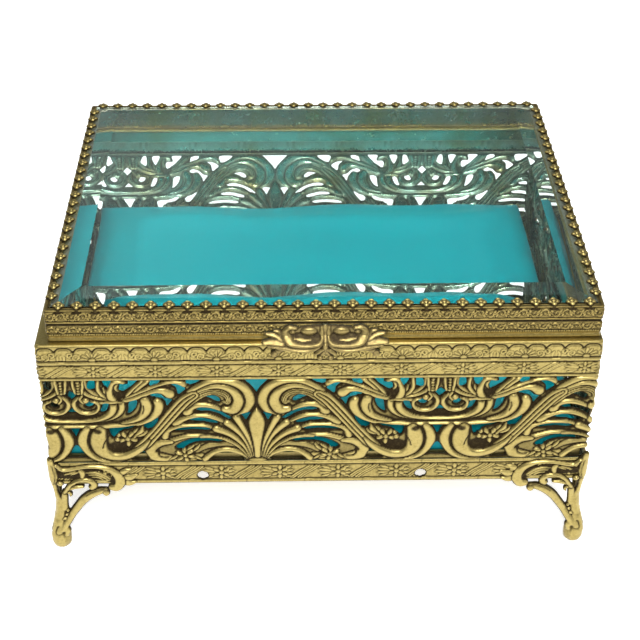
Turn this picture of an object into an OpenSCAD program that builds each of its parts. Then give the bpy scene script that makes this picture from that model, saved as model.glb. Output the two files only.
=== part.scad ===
// Footed trinket casket: pierced brass walls, moulded collar and rails, four corner brackets,
// a padded cushion, and a lid of bevelled glass held in a moulded frame on two rear hinges.
// Millimetres. +Z up, +X to the right, the front faces -Y. The origin is on the floor,
// in the middle of the footprint.

/* [Casket body] */
// Outside width across the collar
body_w = 183; // [170:1:200]
// Outside depth across the collar
body_d = 147; // [135:1:160]
// Height of the ledge that the lid sits on
collar_top = 88; // [86:0.5:92]
// Height of the openwork's upper edge
openwork_top = 74; // [72:0.5:76]
// Height of the openwork's lower edge
openwork_bottom = 39; // [38:0.5:40]
// Height of the lower rail's bottom edge
rail_bottom = 29.2; // [28.5:0.1:30]
// Thickness of the collar and rail strips
strip_t = 1.2; // [1:0.1:1.4]
// Thickness of the pierced sheet
panel_t = 1; // [0.8:0.1:1.2]
// Width of the ledge round the collar's mouth
ledge_w = 5.5; // [4:0.5:7]

/* [Openwork] */
// Length of one repeat of the openwork: a fan and a swag
motif_pitch = 122; // [116:0.5:128]
// Place of a fan's centre along the front wall, from its middle
fan_at_front = -21; // [-40:0.5:40]
// Place of a fan's centre along the right wall, from its middle towards the back
fan_at_right = -64; // [-73:0.5:73]
// Place of a fan's centre along the back wall, from its middle towards the left
fan_at_back = 15; // [-60:0.5:60]
// Place of a fan's centre along the left wall, from its middle towards the front
fan_at_left = 22; // [-60:0.5:60]

/* [Rail holes] */
// Distance between the two round holes in the front rail
hole_spacing = 74.5; // [60:0.5:90]
// Distance of their midpoint from the middle of the front
hole_offset = -2.5; // [-5:0.5:5]
// Height of the holes' centres
hole_z = 32.5; // [32.4:0.1:34]
// Radius of each hole
hole_r = 1.9; // [1.5:0.1:2.2]

/* [Feet] */
// Thickness of the stamped bracket
foot_t = 1; // [0.8:0.1:1.2]
// Radius of the scrolled toe
toe_r = 4.2; // [4:0.1:4.5]

/* [Cushion] */
// Height of the cushion's crown
cushion_top = 59.6; // [52:0.2:64]
// Radius of the cushion's corners
cushion_corner_r = 7; // [4:0.5:12]

/* [Lid] */
// Outside width of the lid's frame
lid_w = 178; // [166:1:194]
// Outside depth of the lid's frame
lid_d = 142.4; // [131:0.2:154]
// Height of the frame's upper edge
lid_top = 100.2; // [99:0.1:101]
// How far the lid sits to the right of the middle
lid_shift = 1.6; // [0:0.1:2]
// Thickness of the frame's wall
lid_t = 1.4; // [1.2:0.1:1.6]
// Thickness of the glass
glass_t = 4; // [3:0.5:5]
// Width of the bevel round the glass
bevel_w = 9; // [6:0.5:12]
// Opening angle of the lid as drawn
lid_open = 0; // [0:5:100]

/* [Gallery] */
// Distance from one rosette to the next
bead_pitch = 5.81; // [5.5:0.01:6.2]
// Rosettes along the front and along the back
beads_long = 30; // [10:1:30]
// Rosettes along each side, clear of those at the ends of the front and back rows
beads_short = 23; // [8:1:23]
// Radius of a rosette head
bead_r = 2; // [1.6:0.1:2.2]

/* [Hinges] */
// Distance between the middles of the two hinges
hinge_spacing = 100; // [80:5:120]
// Length of one hinge along its pin
hinge_len = 24; // [20:1:30]
// Outside radius of a knuckle
knuckle_r = 1.9; // [1.8:0.05:1.9]
// Radius of the hinge pin
pin_r = 0.9; // [0.8:0.05:1]

/* [Hidden] */
$fn = 48;

gilt = "#b9a45a";
dull_gilt = "#a08c4e";
satin = "#12a5a8";

// The rail's flange carries the walls and the tray
flange_w = 5;
flange_t = 1;
// Height of sheet tucked behind the rail, and behind the collar
tuck = 2;
wall_foot = openwork_bottom - tuck;
panel_face = strip_t;
relief_gap = 0.2;
border_h = 1.8;
end_post = 2.4;

// Room inside the walls, from the middle
inner_x = body_w / 2 - strip_t - panel_t;
inner_y = body_d / 2 - strip_t - panel_t;
tray_gap = 0.1;
tray_t = 0.8;
lip_t = 0.6;
lip_h = 3;
board_t = 1.6;
board_gap = 1.2;
cushion_gap = 0.2;
cushion_side_gap = 1.3;
shoulder_drop = 4;
shoulder_in = 4;

// Lid: the glass lies on an inner ledge, inside the gallery strips
glass_ledge_w = 3;
glass_ledge_t = 1;
glass_ledge_top = lid_top - 2;
cove_h = 1.4;
cove_in = 0.6;
groove_z = 94.4;
groove_h = 0.9;
groove_depth = 0.7;
groove_end = 4;
gallery_t = 0.5;
glass_gap = 0.2;
glass_edge_t = 2.2;
stem_w = 1.4;
bead_t = 1.1;
bead_tilt = 15;
bead_in = 2.5;
bead_lift = 1.15;

// Thumb piece: it lies on the lid's face and hangs over the collar
tab_w = 40;
tab_t = 1;
tab_gap = 0.5;
tab_bottom = 82.4;
tab_top = groove_z;
tab_web_z = collar_top + 0.4;
tab_web_h = 1.4;
tab_eye_x = 5.6;
tab_eye_r = 1.4;

// Hinges: the pin lies at the height of the ledge, just behind the collar
axis_y = body_d / 2 + 2.2;
axis_z = collar_top;
leaf_t = 0.8;
leaf_h = 8;
leaf_gap = 0.2;
lid_knuckle_len = hinge_len / 2.5;
pin_hole_fit = 0.02;
pin_hole_run = 0.06;
pin_head_r = 1.4;
pin_head_t = 0.8;

// ---------- helpers ----------

// Places a wall drawn with its outer face on y = 0, running along x, on one side of a box
module on_front(w, d) { translate([0, -d / 2, 0]) children(); }
module on_right(w, d) { translate([w / 2, 0, 0]) rotate([0, 0, 90]) children(); }
module on_back(w, d) { translate([0, d / 2, 0]) rotate([0, 0, 180]) children(); }
module on_left(w, d) { translate([-w / 2, 0, 0]) rotate([0, 0, -90]) children(); }

// A block centred on x = 0
module bar(len, depth, height) { translate([-len / 2, 0, 0]) cube([len, depth, height]); }

// Turns a flat outline, drawn in x and height, upright with its thickness along +y
module upright(t) { translate([0, t, 0]) rotate([90, 0, 0]) linear_extrude(t) children(); }

// Everything on the lid turns about the hinge axis
module lid_turn() {
    translate([0, axis_y, axis_z]) rotate([-lid_open, 0, 0]) translate([0, -axis_y, -axis_z]) children();
}

// Part of a ring from angle a0 to a1, less than half a turn
module arc_band(r, w, a0, a1) {
    far = 2 * (r + w);
    intersection() {
        difference() {
            circle(r + w / 2);
            circle(r - w / 2);
        }
        polygon([
            [0, 0],
            far * [cos(a0), sin(a0)],
            far * [cos((a0 + a1) / 2), sin((a0 + a1) / 2)],
            far * [cos(a1), sin(a1)]
        ]);
    }
}

// A rib of a fan: a bar that ends in a ball
module rib(len, w, ball_r) {
    translate([0, -w / 2]) square([len, w]);
    translate([len, 0]) circle(ball_r);
}

// A rectangle with round corners
module round_rect(w, d, r) {
    square([w - 2 * r, d], center = true);
    square([w, d - 2 * r], center = true);
    for (sx = [-1, 1], sy = [-1, 1]) {
        translate([sx * (w / 2 - r), sy * (d / 2 - r)]) circle(r);
    }
}

// ---------- openwork ----------

// Fan: a middle leaf, ribs on either side, and two volutes that meet over it
module fan_motif() {
    base_z = openwork_bottom + 2;
    base_r = 5;
    leaf_w = 4.4;
    leaf_top = 17;
    rib_w = 2.2;
    rib_step = 14;
    shortest = 19;
    translate([0, base_z]) circle(base_r);
    translate([0, base_z]) square([leaf_w, 2 * leaf_top], center = true);
    for (side = [0, 1], i = [0:4]) {
        mirror([side, 0]) translate([2, base_z]) rotate([0, 0, 68 - rib_step * i])
            rib(shortest + 2.6 * i, rib_w, 1.8);
    }
    for (side = [0, 1]) {
        mirror([side, 0]) {
            translate([11, 64.5]) arc_band(8.4, 4, 20, 190);
            translate([11, 64.5]) arc_band(8.4, 4, 180, 320);
            translate([24, 48]) arc_band(20, 4.6, 60, 120);
            translate([44, 82]) arc_band(21, 5, 215, 262);
        }
    }
}

// Swag: a double cup between two pairs of scrolls
module swag_motif() {
    translate([0, 74]) arc_band(17, 3.4, 185, 355);
    translate([0, 74]) arc_band(25, 4, 190, 350);
    for (side = [0, 1]) {
        mirror([side, 0]) {
            translate([6, 68.5]) arc_band(5, 2.6, -170, 0);
            translate([6, 68.5]) arc_band(5, 2.6, 0, 150);
            translate([9.5, 45.5]) arc_band(6.6, 3.6, -80, 90);
            translate([9.5, 45.5]) arc_band(6.6, 3.6, 90, 260);
            translate([24, 58]) arc_band(17, 4.6, 240, 330);
            translate([20, 44.5]) circle(3.6);
            translate([22, 68]) circle(3.2);
        }
    }
}

// The openwork of one wall: borders, end posts and the motifs that fall inside it
module openwork(len, fan_at) {
    lo = openwork_bottom + relief_gap;
    hi = openwork_top - relief_gap;
    translate([-len / 2, lo]) square([len, border_h]);
    translate([-len / 2, hi - border_h]) square([len, border_h]);
    translate([-len / 2, lo]) square([end_post, hi - lo]);
    translate([len / 2 - end_post, lo]) square([end_post, hi - lo]);
    intersection() {
        translate([-len / 2 + end_post / 2, lo + border_h / 2])
            square([len - end_post, hi - lo - border_h]);
        union() {
            for (i = [-1:1]) {
                translate([fan_at + i * motif_pitch, 0]) fan_motif();
                translate([fan_at + (i + 0.5) * motif_pitch, 0]) swag_motif();
            }
        }
    }
}

// A pierced wall: the sheet, tucked behind the collar and the rail, and its raised face.
// back_trim and face_trim shorten it where it meets a neighbour at the corners.
module filigree(len, back_trim, face_trim, fan_at) {
    translate([0, panel_face, 0]) upright(panel_t) {
        openwork(len - 2 * back_trim, fan_at);
        for (z = [wall_foot, openwork_top - relief_gap]) {
            translate([back_trim - len / 2, z]) square([len - 2 * back_trim, tuck + relief_gap]);
        }
    }
    translate([0, relief_gap, 0]) upright(panel_face - relief_gap) openwork(len - 2 * face_trim, fan_at);
}

module front_panel() {
    color(gilt) on_front(body_w, body_d) filigree(body_w, strip_t, relief_gap, fan_at_front);
}
module back_panel() {
    color(gilt) on_back(body_w, body_d) filigree(body_w, strip_t, relief_gap, fan_at_back);
}
module right_panel() {
    color(gilt) on_right(body_w, body_d) filigree(body_d, strip_t + panel_t, strip_t, fan_at_right);
}
module left_panel() {
    color(gilt) on_left(body_w, body_d) filigree(body_d, strip_t + panel_t, strip_t, fan_at_left);
}

// ---------- collar and rails ----------

// Ring of strip with a ledge turned inwards at the top
module body_collar() {
    ledge_t = 1;
    color(gilt) difference() {
        translate([-body_w / 2, -body_d / 2, openwork_top])
            cube([body_w, body_d, collar_top - openwork_top]);
        translate([strip_t - body_w / 2, strip_t - body_d / 2, openwork_top - 1])
            cube([body_w - 2 * strip_t, body_d - 2 * strip_t, collar_top - openwork_top - ledge_t + 1]);
        translate([ledge_w - body_w / 2, ledge_w - body_d / 2, openwork_top - 1])
            cube([body_w - 2 * ledge_w, body_d - 2 * ledge_w, collar_top - openwork_top + 2]);
    }
}

// Angle strip: an upright wall and a flange turned inwards
module rail(len, flange_len) {
    translate([0, 0, rail_bottom]) bar(len, strip_t, openwork_bottom - rail_bottom);
    translate([0, strip_t / 2, wall_foot - flange_t]) bar(flange_len, strip_t / 2 + flange_w, flange_t);
}

// The front and back rails run the whole width, and the side rails stop between them
module long_rail() { rail(body_w, body_w - 2 * strip_t); }
module short_rail() { rail(body_d - 2 * strip_t, body_d - 2 * (strip_t + flange_w)); }

module front_rail() {
    color(gilt) on_front(body_w, body_d) difference() {
        long_rail();
        for (side = [-1, 1]) {
            translate([hole_offset + side * hole_spacing / 2, -1, hole_z])
                rotate([-90, 0, 0]) cylinder(h = strip_t + 2, r = hole_r);
        }
    }
}
module back_rail() { color(gilt) on_back(body_w, body_d) long_rail(); }
module right_rail() { color(gilt) on_right(body_w, body_d) short_rail(); }
module left_rail() { color(gilt) on_left(body_w, body_d) short_rail(); }

// ---------- feet ----------

// Outline of one wing. x runs from the corner along the wall, y is height.
module foot_wing() {
    // Upright along the corner, narrow at the knee
    polygon([
        [-foot_t, 40], [2.4, 40], [4, 34], [3.4, 28], [2.8, 22],
        [3.6, 14], [4.4, 8], [4, 4], [-foot_t, 4]
    ]);
    // Curved strut and its curled end
    translate([21, 7.5]) arc_band(17.3, 2.6, 98, 176);
    translate([18.4, 24.2]) circle(1.9);
    // Upper band and the large scroll at its end
    translate([0, 33.6]) square([18.5, 3.4]);
    translate([18.5, 31]) arc_band(4.4, 3.2, -95, 85);
    // Leaf that springs from the upright
    translate([11.5, 21.5]) arc_band(8, 2.6, 62, 178);
    translate([15, 28.2]) circle(1.9);
    translate([13.6, 28]) square([6, 1.6]);
    translate([18.2, 24.6]) square([2.4, 3.4]);
}

// Corner bracket: two wings that meet at the corner, and a scrolled toe with a flat underside
module foot(side_x, side_y) {
    mirror([side_x < 0 ? 1 : 0, 0, 0]) mirror([0, side_y < 0 ? 1 : 0, 0])
        translate([body_w / 2, body_d / 2, 0]) {
            mirror([1, 0, 0]) upright(foot_t) foot_wing();
            mirror([1, -1, 0]) mirror([1, 0, 0]) upright(foot_t) foot_wing();
            intersection() {
                translate([0, 0, toe_r - 0.3]) sphere(toe_r);
                translate([-toe_r, -toe_r, 0]) cube([2 * toe_r, 2 * toe_r, 2 * toe_r]);
            }
        }
}

module foot_front_left() { color(gilt) foot(-1, -1); }
module foot_front_right() { color(gilt) foot(1, -1); }
module foot_back_left() { color(gilt) foot(-1, 1); }
module foot_back_right() { color(gilt) foot(1, 1); }

// ---------- inside ----------

// Sheet floor with a low lip, lying on the rails' flanges
module base_tray() {
    w = 2 * (inner_x - tray_gap);
    d = 2 * (inner_y - tray_gap);
    color(dull_gilt) translate([0, 0, wall_foot]) difference() {
        translate([-w / 2, -d / 2, 0]) cube([w, d, tray_t + lip_h]);
        translate([lip_t - w / 2, lip_t - d / 2, tray_t]) cube([w - 2 * lip_t, d - 2 * lip_t, lip_h + 1]);
    }
}

// Card that the cushion is made up on
module cushion_board() {
    w = 2 * (inner_x - board_gap);
    d = 2 * (inner_y - board_gap);
    color("tan") translate([-w / 2, -d / 2, wall_foot + tray_t]) cube([w, d, board_t]);
}

// Plain solid of the cushion: full below, drawn in at the shoulders
module cushion_pad() {
    w = 2 * (inner_x - cushion_side_gap);
    d = 2 * (inner_y - cushion_side_gap);
    low = wall_foot + tray_t + board_t + cushion_gap;
    shoulder = cushion_top - shoulder_drop;
    color(satin) {
        translate([0, 0, low]) linear_extrude(shoulder - low) round_rect(w, d, cushion_corner_r);
        translate([0, 0, low])
            linear_extrude(cushion_top - low)
                round_rect(w - 2 * shoulder_in, d - 2 * shoulder_in, cushion_corner_r);
    }
}

// ---------- lid ----------

// Places things on the lid, in its own centre and at its own angle
module on_lid() { lid_turn() translate([lid_shift, 0, 0]) children(); }

// Groove along one side of the frame
module groove(len) {
    translate([0, -1, groove_z - groove_h / 2]) bar(len - 2 * groove_end, 1 + groove_depth, groove_h);
}

// Moulded ring with a cove at its foot, a groove on each side and an inner ledge for the glass
module lid_frame() {
    in_x = lid_w - 2 * lid_t;
    in_y = lid_d - 2 * lid_t;
    ledge_x = in_x - 2 * glass_ledge_w;
    ledge_y = in_y - 2 * glass_ledge_w;
    base = collar_top;
    color(dull_gilt) on_lid() difference() {
        union() {
            translate([-lid_w / 2, -lid_d / 2, base + cove_h]) cube([lid_w, lid_d, lid_top - base - cove_h]);
            translate([cove_in - lid_w / 2, cove_in - lid_d / 2, base])
                cube([lid_w - 2 * cove_in, lid_d - 2 * cove_in, cove_h + 1]);
        }
        translate([-in_x / 2, -in_y / 2, base - 1])
            cube([in_x, in_y, glass_ledge_top - glass_ledge_t - base + 1]);
        translate([-in_x / 2, -in_y / 2, glass_ledge_top]) cube([in_x, in_y, lid_top]);
        translate([-ledge_x / 2, -ledge_y / 2, base - 1]) cube([ledge_x, ledge_y, lid_top]);
        on_front(lid_w, lid_d) groove(lid_w);
        on_back(lid_w, lid_d) groove(lid_w);
        on_right(lid_w, lid_d) groove(lid_d);
        on_left(lid_w, lid_d) groove(lid_d);
    }
}

// Clear pane with a wide bevel round its top
module glass_pane() {
    w = lid_w - 2 * (lid_t + gallery_t + glass_gap);
    d = lid_d - 2 * (lid_t + gallery_t + glass_gap);
    color("lightcyan", 0.4) on_lid() translate([0, 0, glass_ledge_top]) hull() {
        translate([-w / 2, -d / 2, 0]) cube([w, d, glass_edge_t]);
        translate([bevel_w - w / 2, bevel_w - d / 2, 0]) cube([w - 2 * bevel_w, d - 2 * bevel_w, glass_t]);
    }
}

// Strip along one side of the glass, with a row of rosettes on stems that hold them over its bevel
module gallery(len, count) {
    translate([0, lid_t, glass_ledge_top]) bar(len, gallery_t, lid_top - glass_ledge_top + 0.2);
    for (i = [0:count - 1]) {
        translate([(i - (count - 1) / 2) * bead_pitch, 0, 0]) {
            translate([0, lid_t, lid_top]) bar(stem_w, gallery_t, bead_lift);
            translate([0, bead_in, lid_top + bead_lift])
                rotate([bead_tilt, 0, 0])
                    translate([0, 0, -bead_t / 2]) cylinder(h = bead_t, r = bead_r, $fn = 24);
        }
    }
}

module gallery_front() {
    color(gilt) on_lid() on_front(lid_w, lid_d) gallery(lid_w - 2 * lid_t, beads_long);
}
module gallery_back() {
    color(gilt) on_lid() on_back(lid_w, lid_d) gallery(lid_w - 2 * lid_t, beads_long);
}
module gallery_right() {
    color(gilt) on_lid() on_right(lid_w, lid_d) gallery(lid_d - 2 * (lid_t + gallery_t), beads_short);
}
module gallery_left() {
    color(gilt) on_lid() on_left(lid_w, lid_d) gallery(lid_d - 2 * (lid_t + gallery_t), beads_short);
}

// Outline of the thumb piece: two scrolls about two eyes, with a leaf at each end
module tab_outline() {
    difference() {
        union() {
            for (side = [0, 1]) {
                mirror([side, 0]) {
                    translate([tab_eye_x, 89.2]) circle(5);
                    translate([14, 88.6]) circle(4);
                    translate([17.4, 87.4]) circle(2.6);
                }
            }
            translate([0, 86.4]) circle(4);
            translate([-9, 88.6]) square([18, tab_top - 88.6]);
        }
        for (side = [-1, 1]) {
            translate([side * tab_eye_x, 90.2]) circle(tab_eye_r);
        }
    }
}

// Thumb piece: its upper part lies on the lid's face, a web steps it forward over the ledge,
// and its lower part hangs clear of the collar
module lift_tab() {
    lid_face = -lid_d / 2;
    hang_face = -body_d / 2 - tab_gap;
    color(dull_gilt) on_lid() {
        intersection() {
            translate([0, lid_face - tab_t, 0]) upright(tab_t) tab_outline();
            translate([-tab_w / 2, lid_face - tab_t, tab_web_z]) cube([tab_w, tab_t, 20]);
        }
        intersection() {
            translate([0, hang_face - tab_t, 0]) upright(lid_face - hang_face + tab_t) tab_outline();
            translate([-tab_w / 2, hang_face - tab_t, tab_web_z])
                cube([tab_w, lid_face - hang_face + tab_t, tab_web_h]);
        }
        intersection() {
            translate([0, hang_face - tab_t, 0]) upright(tab_t) tab_outline();
            translate([-tab_w / 2, hang_face - tab_t, tab_bottom])
                cube([tab_w, tab_t, tab_web_z + tab_web_h - tab_bottom]);
        }
    }
}

// ---------- hinges ----------

// A cylinder along x, centred on the hinge axis
module along_axis(len, r) {
    translate([-len / 2, axis_y, axis_z]) rotate([0, 90, 0]) cylinder(h = len, r = r);
}

// Leaf on the collar's back, with the two outer knuckles
module casket_leaf(x) {
    gap = lid_knuckle_len + 2 * leaf_gap;
    color(gilt) translate([x, 0, 0]) difference() {
        union() {
            translate([0, body_d / 2, axis_z - leaf_h]) bar(hinge_len, leaf_t, leaf_h);
            along_axis(hinge_len, knuckle_r);
        }
        translate([0, body_d / 2 - 1, axis_z - knuckle_r - leaf_gap]) bar(gap, 10, 10);
        along_axis(hinge_len + 2, pin_r + pin_hole_fit);
    }
}

// Leaf on the lid's back, with the middle knuckle on a short web
module lid_leaf(x) {
    web_t = 1;
    leaf_foot = axis_z + 0.8;
    color(dull_gilt) lid_turn() translate([x, 0, 0]) difference() {
        union() {
            translate([0, lid_d / 2, leaf_foot]) bar(hinge_len, leaf_t, leaf_h - 1.4);
            translate([0, lid_d / 2, leaf_foot]) bar(lid_knuckle_len, axis_y - lid_d / 2, web_t);
            along_axis(lid_knuckle_len, knuckle_r);
        }
        along_axis(hinge_len + 2, pin_r + pin_hole_run);
    }
}

// Headed pin
module hinge_pin(x) {
    color(dull_gilt) translate([x, 0, 0]) {
        along_axis(hinge_len + 2 * leaf_gap, pin_r);
        for (side = [-1, 1]) {
            translate([side * (hinge_len / 2 + leaf_gap + pin_head_t / 2), 0, 0])
                along_axis(pin_head_t, pin_head_r);
        }
    }
}

module casket_leaf_left() { casket_leaf(-hinge_spacing / 2); }
module casket_leaf_right() { casket_leaf(hinge_spacing / 2); }
module lid_leaf_left() { lid_leaf(-hinge_spacing / 2); }
module lid_leaf_right() { lid_leaf(hinge_spacing / 2); }
module hinge_pin_left() { hinge_pin(-hinge_spacing / 2); }
module hinge_pin_right() { hinge_pin(hinge_spacing / 2); }

front_panel();
right_panel();
back_panel();
left_panel();
body_collar();
front_rail();
right_rail();
back_rail();
left_rail();
foot_front_left();
foot_front_right();
foot_back_left();
foot_back_right();
base_tray();
cushion_board();
cushion_pad();
casket_leaf_left();
casket_leaf_right();
hinge_pin_left();
hinge_pin_right();
lid_frame();
glass_pane();
lift_tab();
gallery_front();
gallery_right();
gallery_back();
gallery_left();
lid_leaf_left();
lid_leaf_right();
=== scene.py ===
"""Footed trinket casket: pierced gilt walls, stamped bands and feet, bevelled glass lid, satin cushion.

The stamped sheet is made from relief maps. Each map is drawn once for one repeat of its ornament,
from curves with a width, and a wall takes its height, its piercing and its dark from it: antiquing and
painted shade.
Ornament is drawn in millimetres, along the strip and in height above the floor.
"""
import math

import bpy
import numpy as np
from mathutils import Matrix, Vector


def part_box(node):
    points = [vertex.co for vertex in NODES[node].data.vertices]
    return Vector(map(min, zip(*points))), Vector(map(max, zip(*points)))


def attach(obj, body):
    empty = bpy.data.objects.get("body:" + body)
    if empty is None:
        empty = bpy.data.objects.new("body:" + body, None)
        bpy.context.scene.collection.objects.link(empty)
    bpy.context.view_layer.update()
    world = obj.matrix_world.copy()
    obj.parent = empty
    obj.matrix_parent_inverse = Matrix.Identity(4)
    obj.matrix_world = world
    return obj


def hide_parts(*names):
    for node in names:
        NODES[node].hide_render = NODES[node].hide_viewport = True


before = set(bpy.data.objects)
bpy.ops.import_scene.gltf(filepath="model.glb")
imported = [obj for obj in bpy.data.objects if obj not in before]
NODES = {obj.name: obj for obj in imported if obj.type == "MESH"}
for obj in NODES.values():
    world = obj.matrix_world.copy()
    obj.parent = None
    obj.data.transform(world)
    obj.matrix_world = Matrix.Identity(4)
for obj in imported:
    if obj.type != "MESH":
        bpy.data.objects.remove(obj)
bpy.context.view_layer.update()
MM = 0.001
SIDES = ("front", "right", "back", "left")


def span(node):
    """Lowest and highest corner of a CAD node, in millimetres."""
    low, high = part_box(node)
    return np.array(low) / MM, np.array(high) / MM


# ---------- relief maps ----------

def smooth(points, closed=False, steps=5):
    """A Catmull-Rom curve through rows of numbers: place along, height and, if given, half width."""
    p = np.asarray(points, float)
    if closed:
        q = np.vstack([p[-1:], p, p[:2]])
    else:
        q = np.vstack([2 * p[0] - p[1], p, 2 * p[-1] - p[-2]])
    rows = []
    for a, b, c, d in zip(q, q[1:], q[2:], q[3:]):
        for k in range(steps):
            s = k / steps
            rows.append(0.5 * (2 * b + (c - a) * s + (2 * a - 5 * b + 4 * c - d) * s ** 2
                               + (3 * b - 3 * c + d - a) * s ** 3))
    if not closed:
        rows.append(p[-1])
    return np.array(rows)


def blur(grid, passes=1):
    """Averages a map with its neighbours."""
    for _ in range(passes):
        wide = np.pad(grid, 1, mode="edge")
        grid = (wide[:-2, 1:-1] + wide[2:, 1:-1] + 2 * wide[1:-1, 1:-1]) / 4
        wide = np.pad(grid, 1, mode="edge")
        grid = (wide[1:-1, :-2] + wide[1:-1, 2:] + 2 * wide[1:-1, 1:-1]) / 4
    return grid


def spread(grid, cells, across):
    """A wide, soft blur. across says how the map goes on past its ends."""
    for axis, mode in ((0, "edge"), (1, across)):
        for _ in range(3):
            pad = [(0, 0), (0, 0)]
            pad[axis] = (cells + 1, cells)
            total = np.cumsum(np.pad(grid, pad, mode=mode), axis)
            size = grid.shape[axis]
            after = np.take(total, np.arange(size) + 2 * cells + 1, axis)
            before = np.take(total, np.arange(size), axis)
            grid = (after - before) / (2 * cells + 1)
    return grid


def ramp(v, low, high):
    """0 below low, 1 above high, and smooth between."""
    t = np.clip((v - low) / (high - low), 0, 1)
    return t * t * (3 - 2 * t)


ROUND = ((-1, 1, 1.0),)
PAIR = ((-1, -0.08, 1.0), (0.08, 1, 1.0))
TRIPLE = ((-1, -0.4, 0.9), (-0.33, 0.27, 1.0), (0.34, 1, 0.9))
EDGE = 0.42


class Relief:
    """Height, dark tint and piercing over one repeat of an ornament, on a fine grid."""

    def __init__(self, width, low, high, level=0.3, tint=0.3, step=0.125, wrap="repeat", sheet=True):
        self.width, self.low, self.step, self.wrap = width, low, step, wrap
        self.x = np.arange(0, width + step, step)
        self.z = np.arange(low, high + step, step)
        shape = (len(self.z), len(self.x))
        self.height = np.full(shape, float(level))
        self.tint = np.full(shape, float(tint))
        self.cut = np.full(shape, -9.0 if sheet else 9.0)
        self.sheet = sheet
        self.shifts = (-width, 0, width) if wrap == "repeat" else (0,)

    def window(self, rows, reach):
        """The cells within reach of a set of points."""
        i0, i1 = np.searchsorted(self.x, (rows[:, 0].min() - reach, rows[:, 0].max() + reach))
        j0, j1 = np.searchsorted(self.z, (rows[:, 1].min() - reach, rows[:, 1].max() + reach))
        if i0 >= i1 or j0 >= j1:
            return None
        area = (slice(j0, j1), slice(i0, i1))
        return area, self.x[i0:i1][None, :], self.z[j0:j1][:, None]

    @staticmethod
    def nearest(rows, x, z):
        """Distance, side (+1 on the left of the line) and half width at the nearest point of a line."""
        best = np.full(np.broadcast(x, z).shape, 1e9)
        side = np.ones_like(best)
        half = np.zeros_like(best)
        for a, b in zip(rows, rows[1:]):
            ux, uz = b[0] - a[0], b[1] - a[1]
            length = max(ux * ux + uz * uz, 1e-9)
            t = np.clip(((x - a[0]) * ux + (z - a[1]) * uz) / length, 0, 1)
            dx, dz = x - a[0] - t * ux, z - a[1] - t * uz
            d = dx * dx + dz * dz
            near = d < best
            best = np.where(near, d, best)
            side = np.where(near, np.sign(ux * dz - uz * dx), side)
            half = np.where(near, a[2] + (b[2] - a[2]) * t, half)
        return np.sqrt(best), side, np.maximum(half, 0.05)

    def ribbon(self, points, half=None, ridges=ROUND, low=0.35, rise=0.75, over=True, edge=EDGE, tint=0.0):
        """A raised line. half is one half width or one for each point. ridges are (from, to, height)
        across it, from -1 to 1."""
        p = np.asarray(points, float)
        if half is not None:
            p = np.column_stack([p[:, :2], np.broadcast_to(half, len(p))])
        for shift in self.shifts:
            rows = smooth(p + np.array([shift, 0, 0]))
            found = self.window(rows, rows[:, 2].max() + edge)
            if not found:
                continue
            area, x, z = found
            d, side, w = self.nearest(rows, x, z)
            t = np.where(side == 0, 1, side) * d / w
            body = np.zeros_like(t)
            for a, b, top in ridges:
                across = np.clip(1 - ((t - (a + b) / 2) / ((b - a) / 2)) ** 2, 0, 1)
                body = np.maximum(body, top * across ** 0.7)
            inside = d < w
            rim = np.clip(1 - (d - w) / edge, 0, 1)
            height, dark = self.height[area], self.tint[area]
            fresh = low + rise * body
            # Antiquing and painted shade: the line's flanks are darkened, and when it lies over others a dark
            # sunken rim runs round it
            crease = np.maximum(tint, 1 - ramp(body, 0.05, 0.72))
            if over:
                height[:] = np.where(inside, fresh, height - 0.25 * rim * (height > 0.15))
                dark[:] = np.where(inside, crease, np.maximum(dark, rim))
            else:
                higher = inside & (fresh > height)
                height[:] = np.where(higher, fresh, height)
                dark[:] = np.where(higher, crease, dark)
            if not self.sheet:
                self.cut[area] = np.minimum(self.cut[area], d - w)

    def dome(self, x, z, rx, rz=None, low=0.35, rise=0.7, tint=0.0):
        """A raised oval."""
        rz = rz or rx
        for shift in self.shifts:
            found = self.window(np.array([[x + shift - rx, z - rz], [x + shift + rx, z + rz]]), EDGE)
            if not found:
                continue
            area, gx, gz = found
            q = np.sqrt(((gx - x - shift) / rx) ** 2 + ((gz - z) / rz) ** 2)
            body = np.sqrt(np.clip(1 - q * q, 0, 1))
            rim = np.clip(1 - (q - 1) * min(rx, rz) / EDGE, 0, 1)
            inside = q < 1
            # Antiquing and painted shade: the dome's flanks and a sunken rim round it are darkened
            height, dark = self.height[area], self.tint[area]
            height[:] = np.where(inside, low + rise * body, height - 0.2 * rim * (height > 0.2))
            dark[:] = np.where(inside, np.maximum(tint, 1 - ramp(body, 0.1, 0.75)), np.maximum(dark, rim))
            if not self.sheet:
                self.cut[area] = np.minimum(self.cut[area], (q - 1) * min(rx, rz))

    def shade(self, x, z, rx, rz, amount=0.9, drop=0.0):
        """Painted shade in a hollow, together with dark antiquing."""
        for shift in self.shifts:
            found = self.window(np.array([[x + shift - rx, z - rz], [x + shift + rx, z + rz]]), 0.5)
            if not found:
                continue
            area, gx, gz = found
            q = np.sqrt(((gx - x - shift) / rx) ** 2 + ((gz - z) / rz) ** 2)
            soft = 1 - ramp(q, 0.55, 1.05)
            self.tint[area] = np.maximum(self.tint[area], amount * soft)
            self.height[area] = self.height[area] - drop * soft

    def line(self, points, half=0.16, depth=0.3):
        """An engraved line."""
        for shift in self.shifts:
            p = np.asarray(points, float) + np.array([shift, 0])
            rows = smooth(np.column_stack([p, np.full(len(p), half)]))
            found = self.window(rows, half + 0.3)
            if not found:
                continue
            area, x, z = found
            d, _, _ = self.nearest(rows, x, z)
            mark = 1 - ramp(d, half * 0.5, half + 0.22)
            self.tint[area] = np.maximum(self.tint[area], mark)
            self.height[area] = self.height[area] - depth * mark

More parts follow.
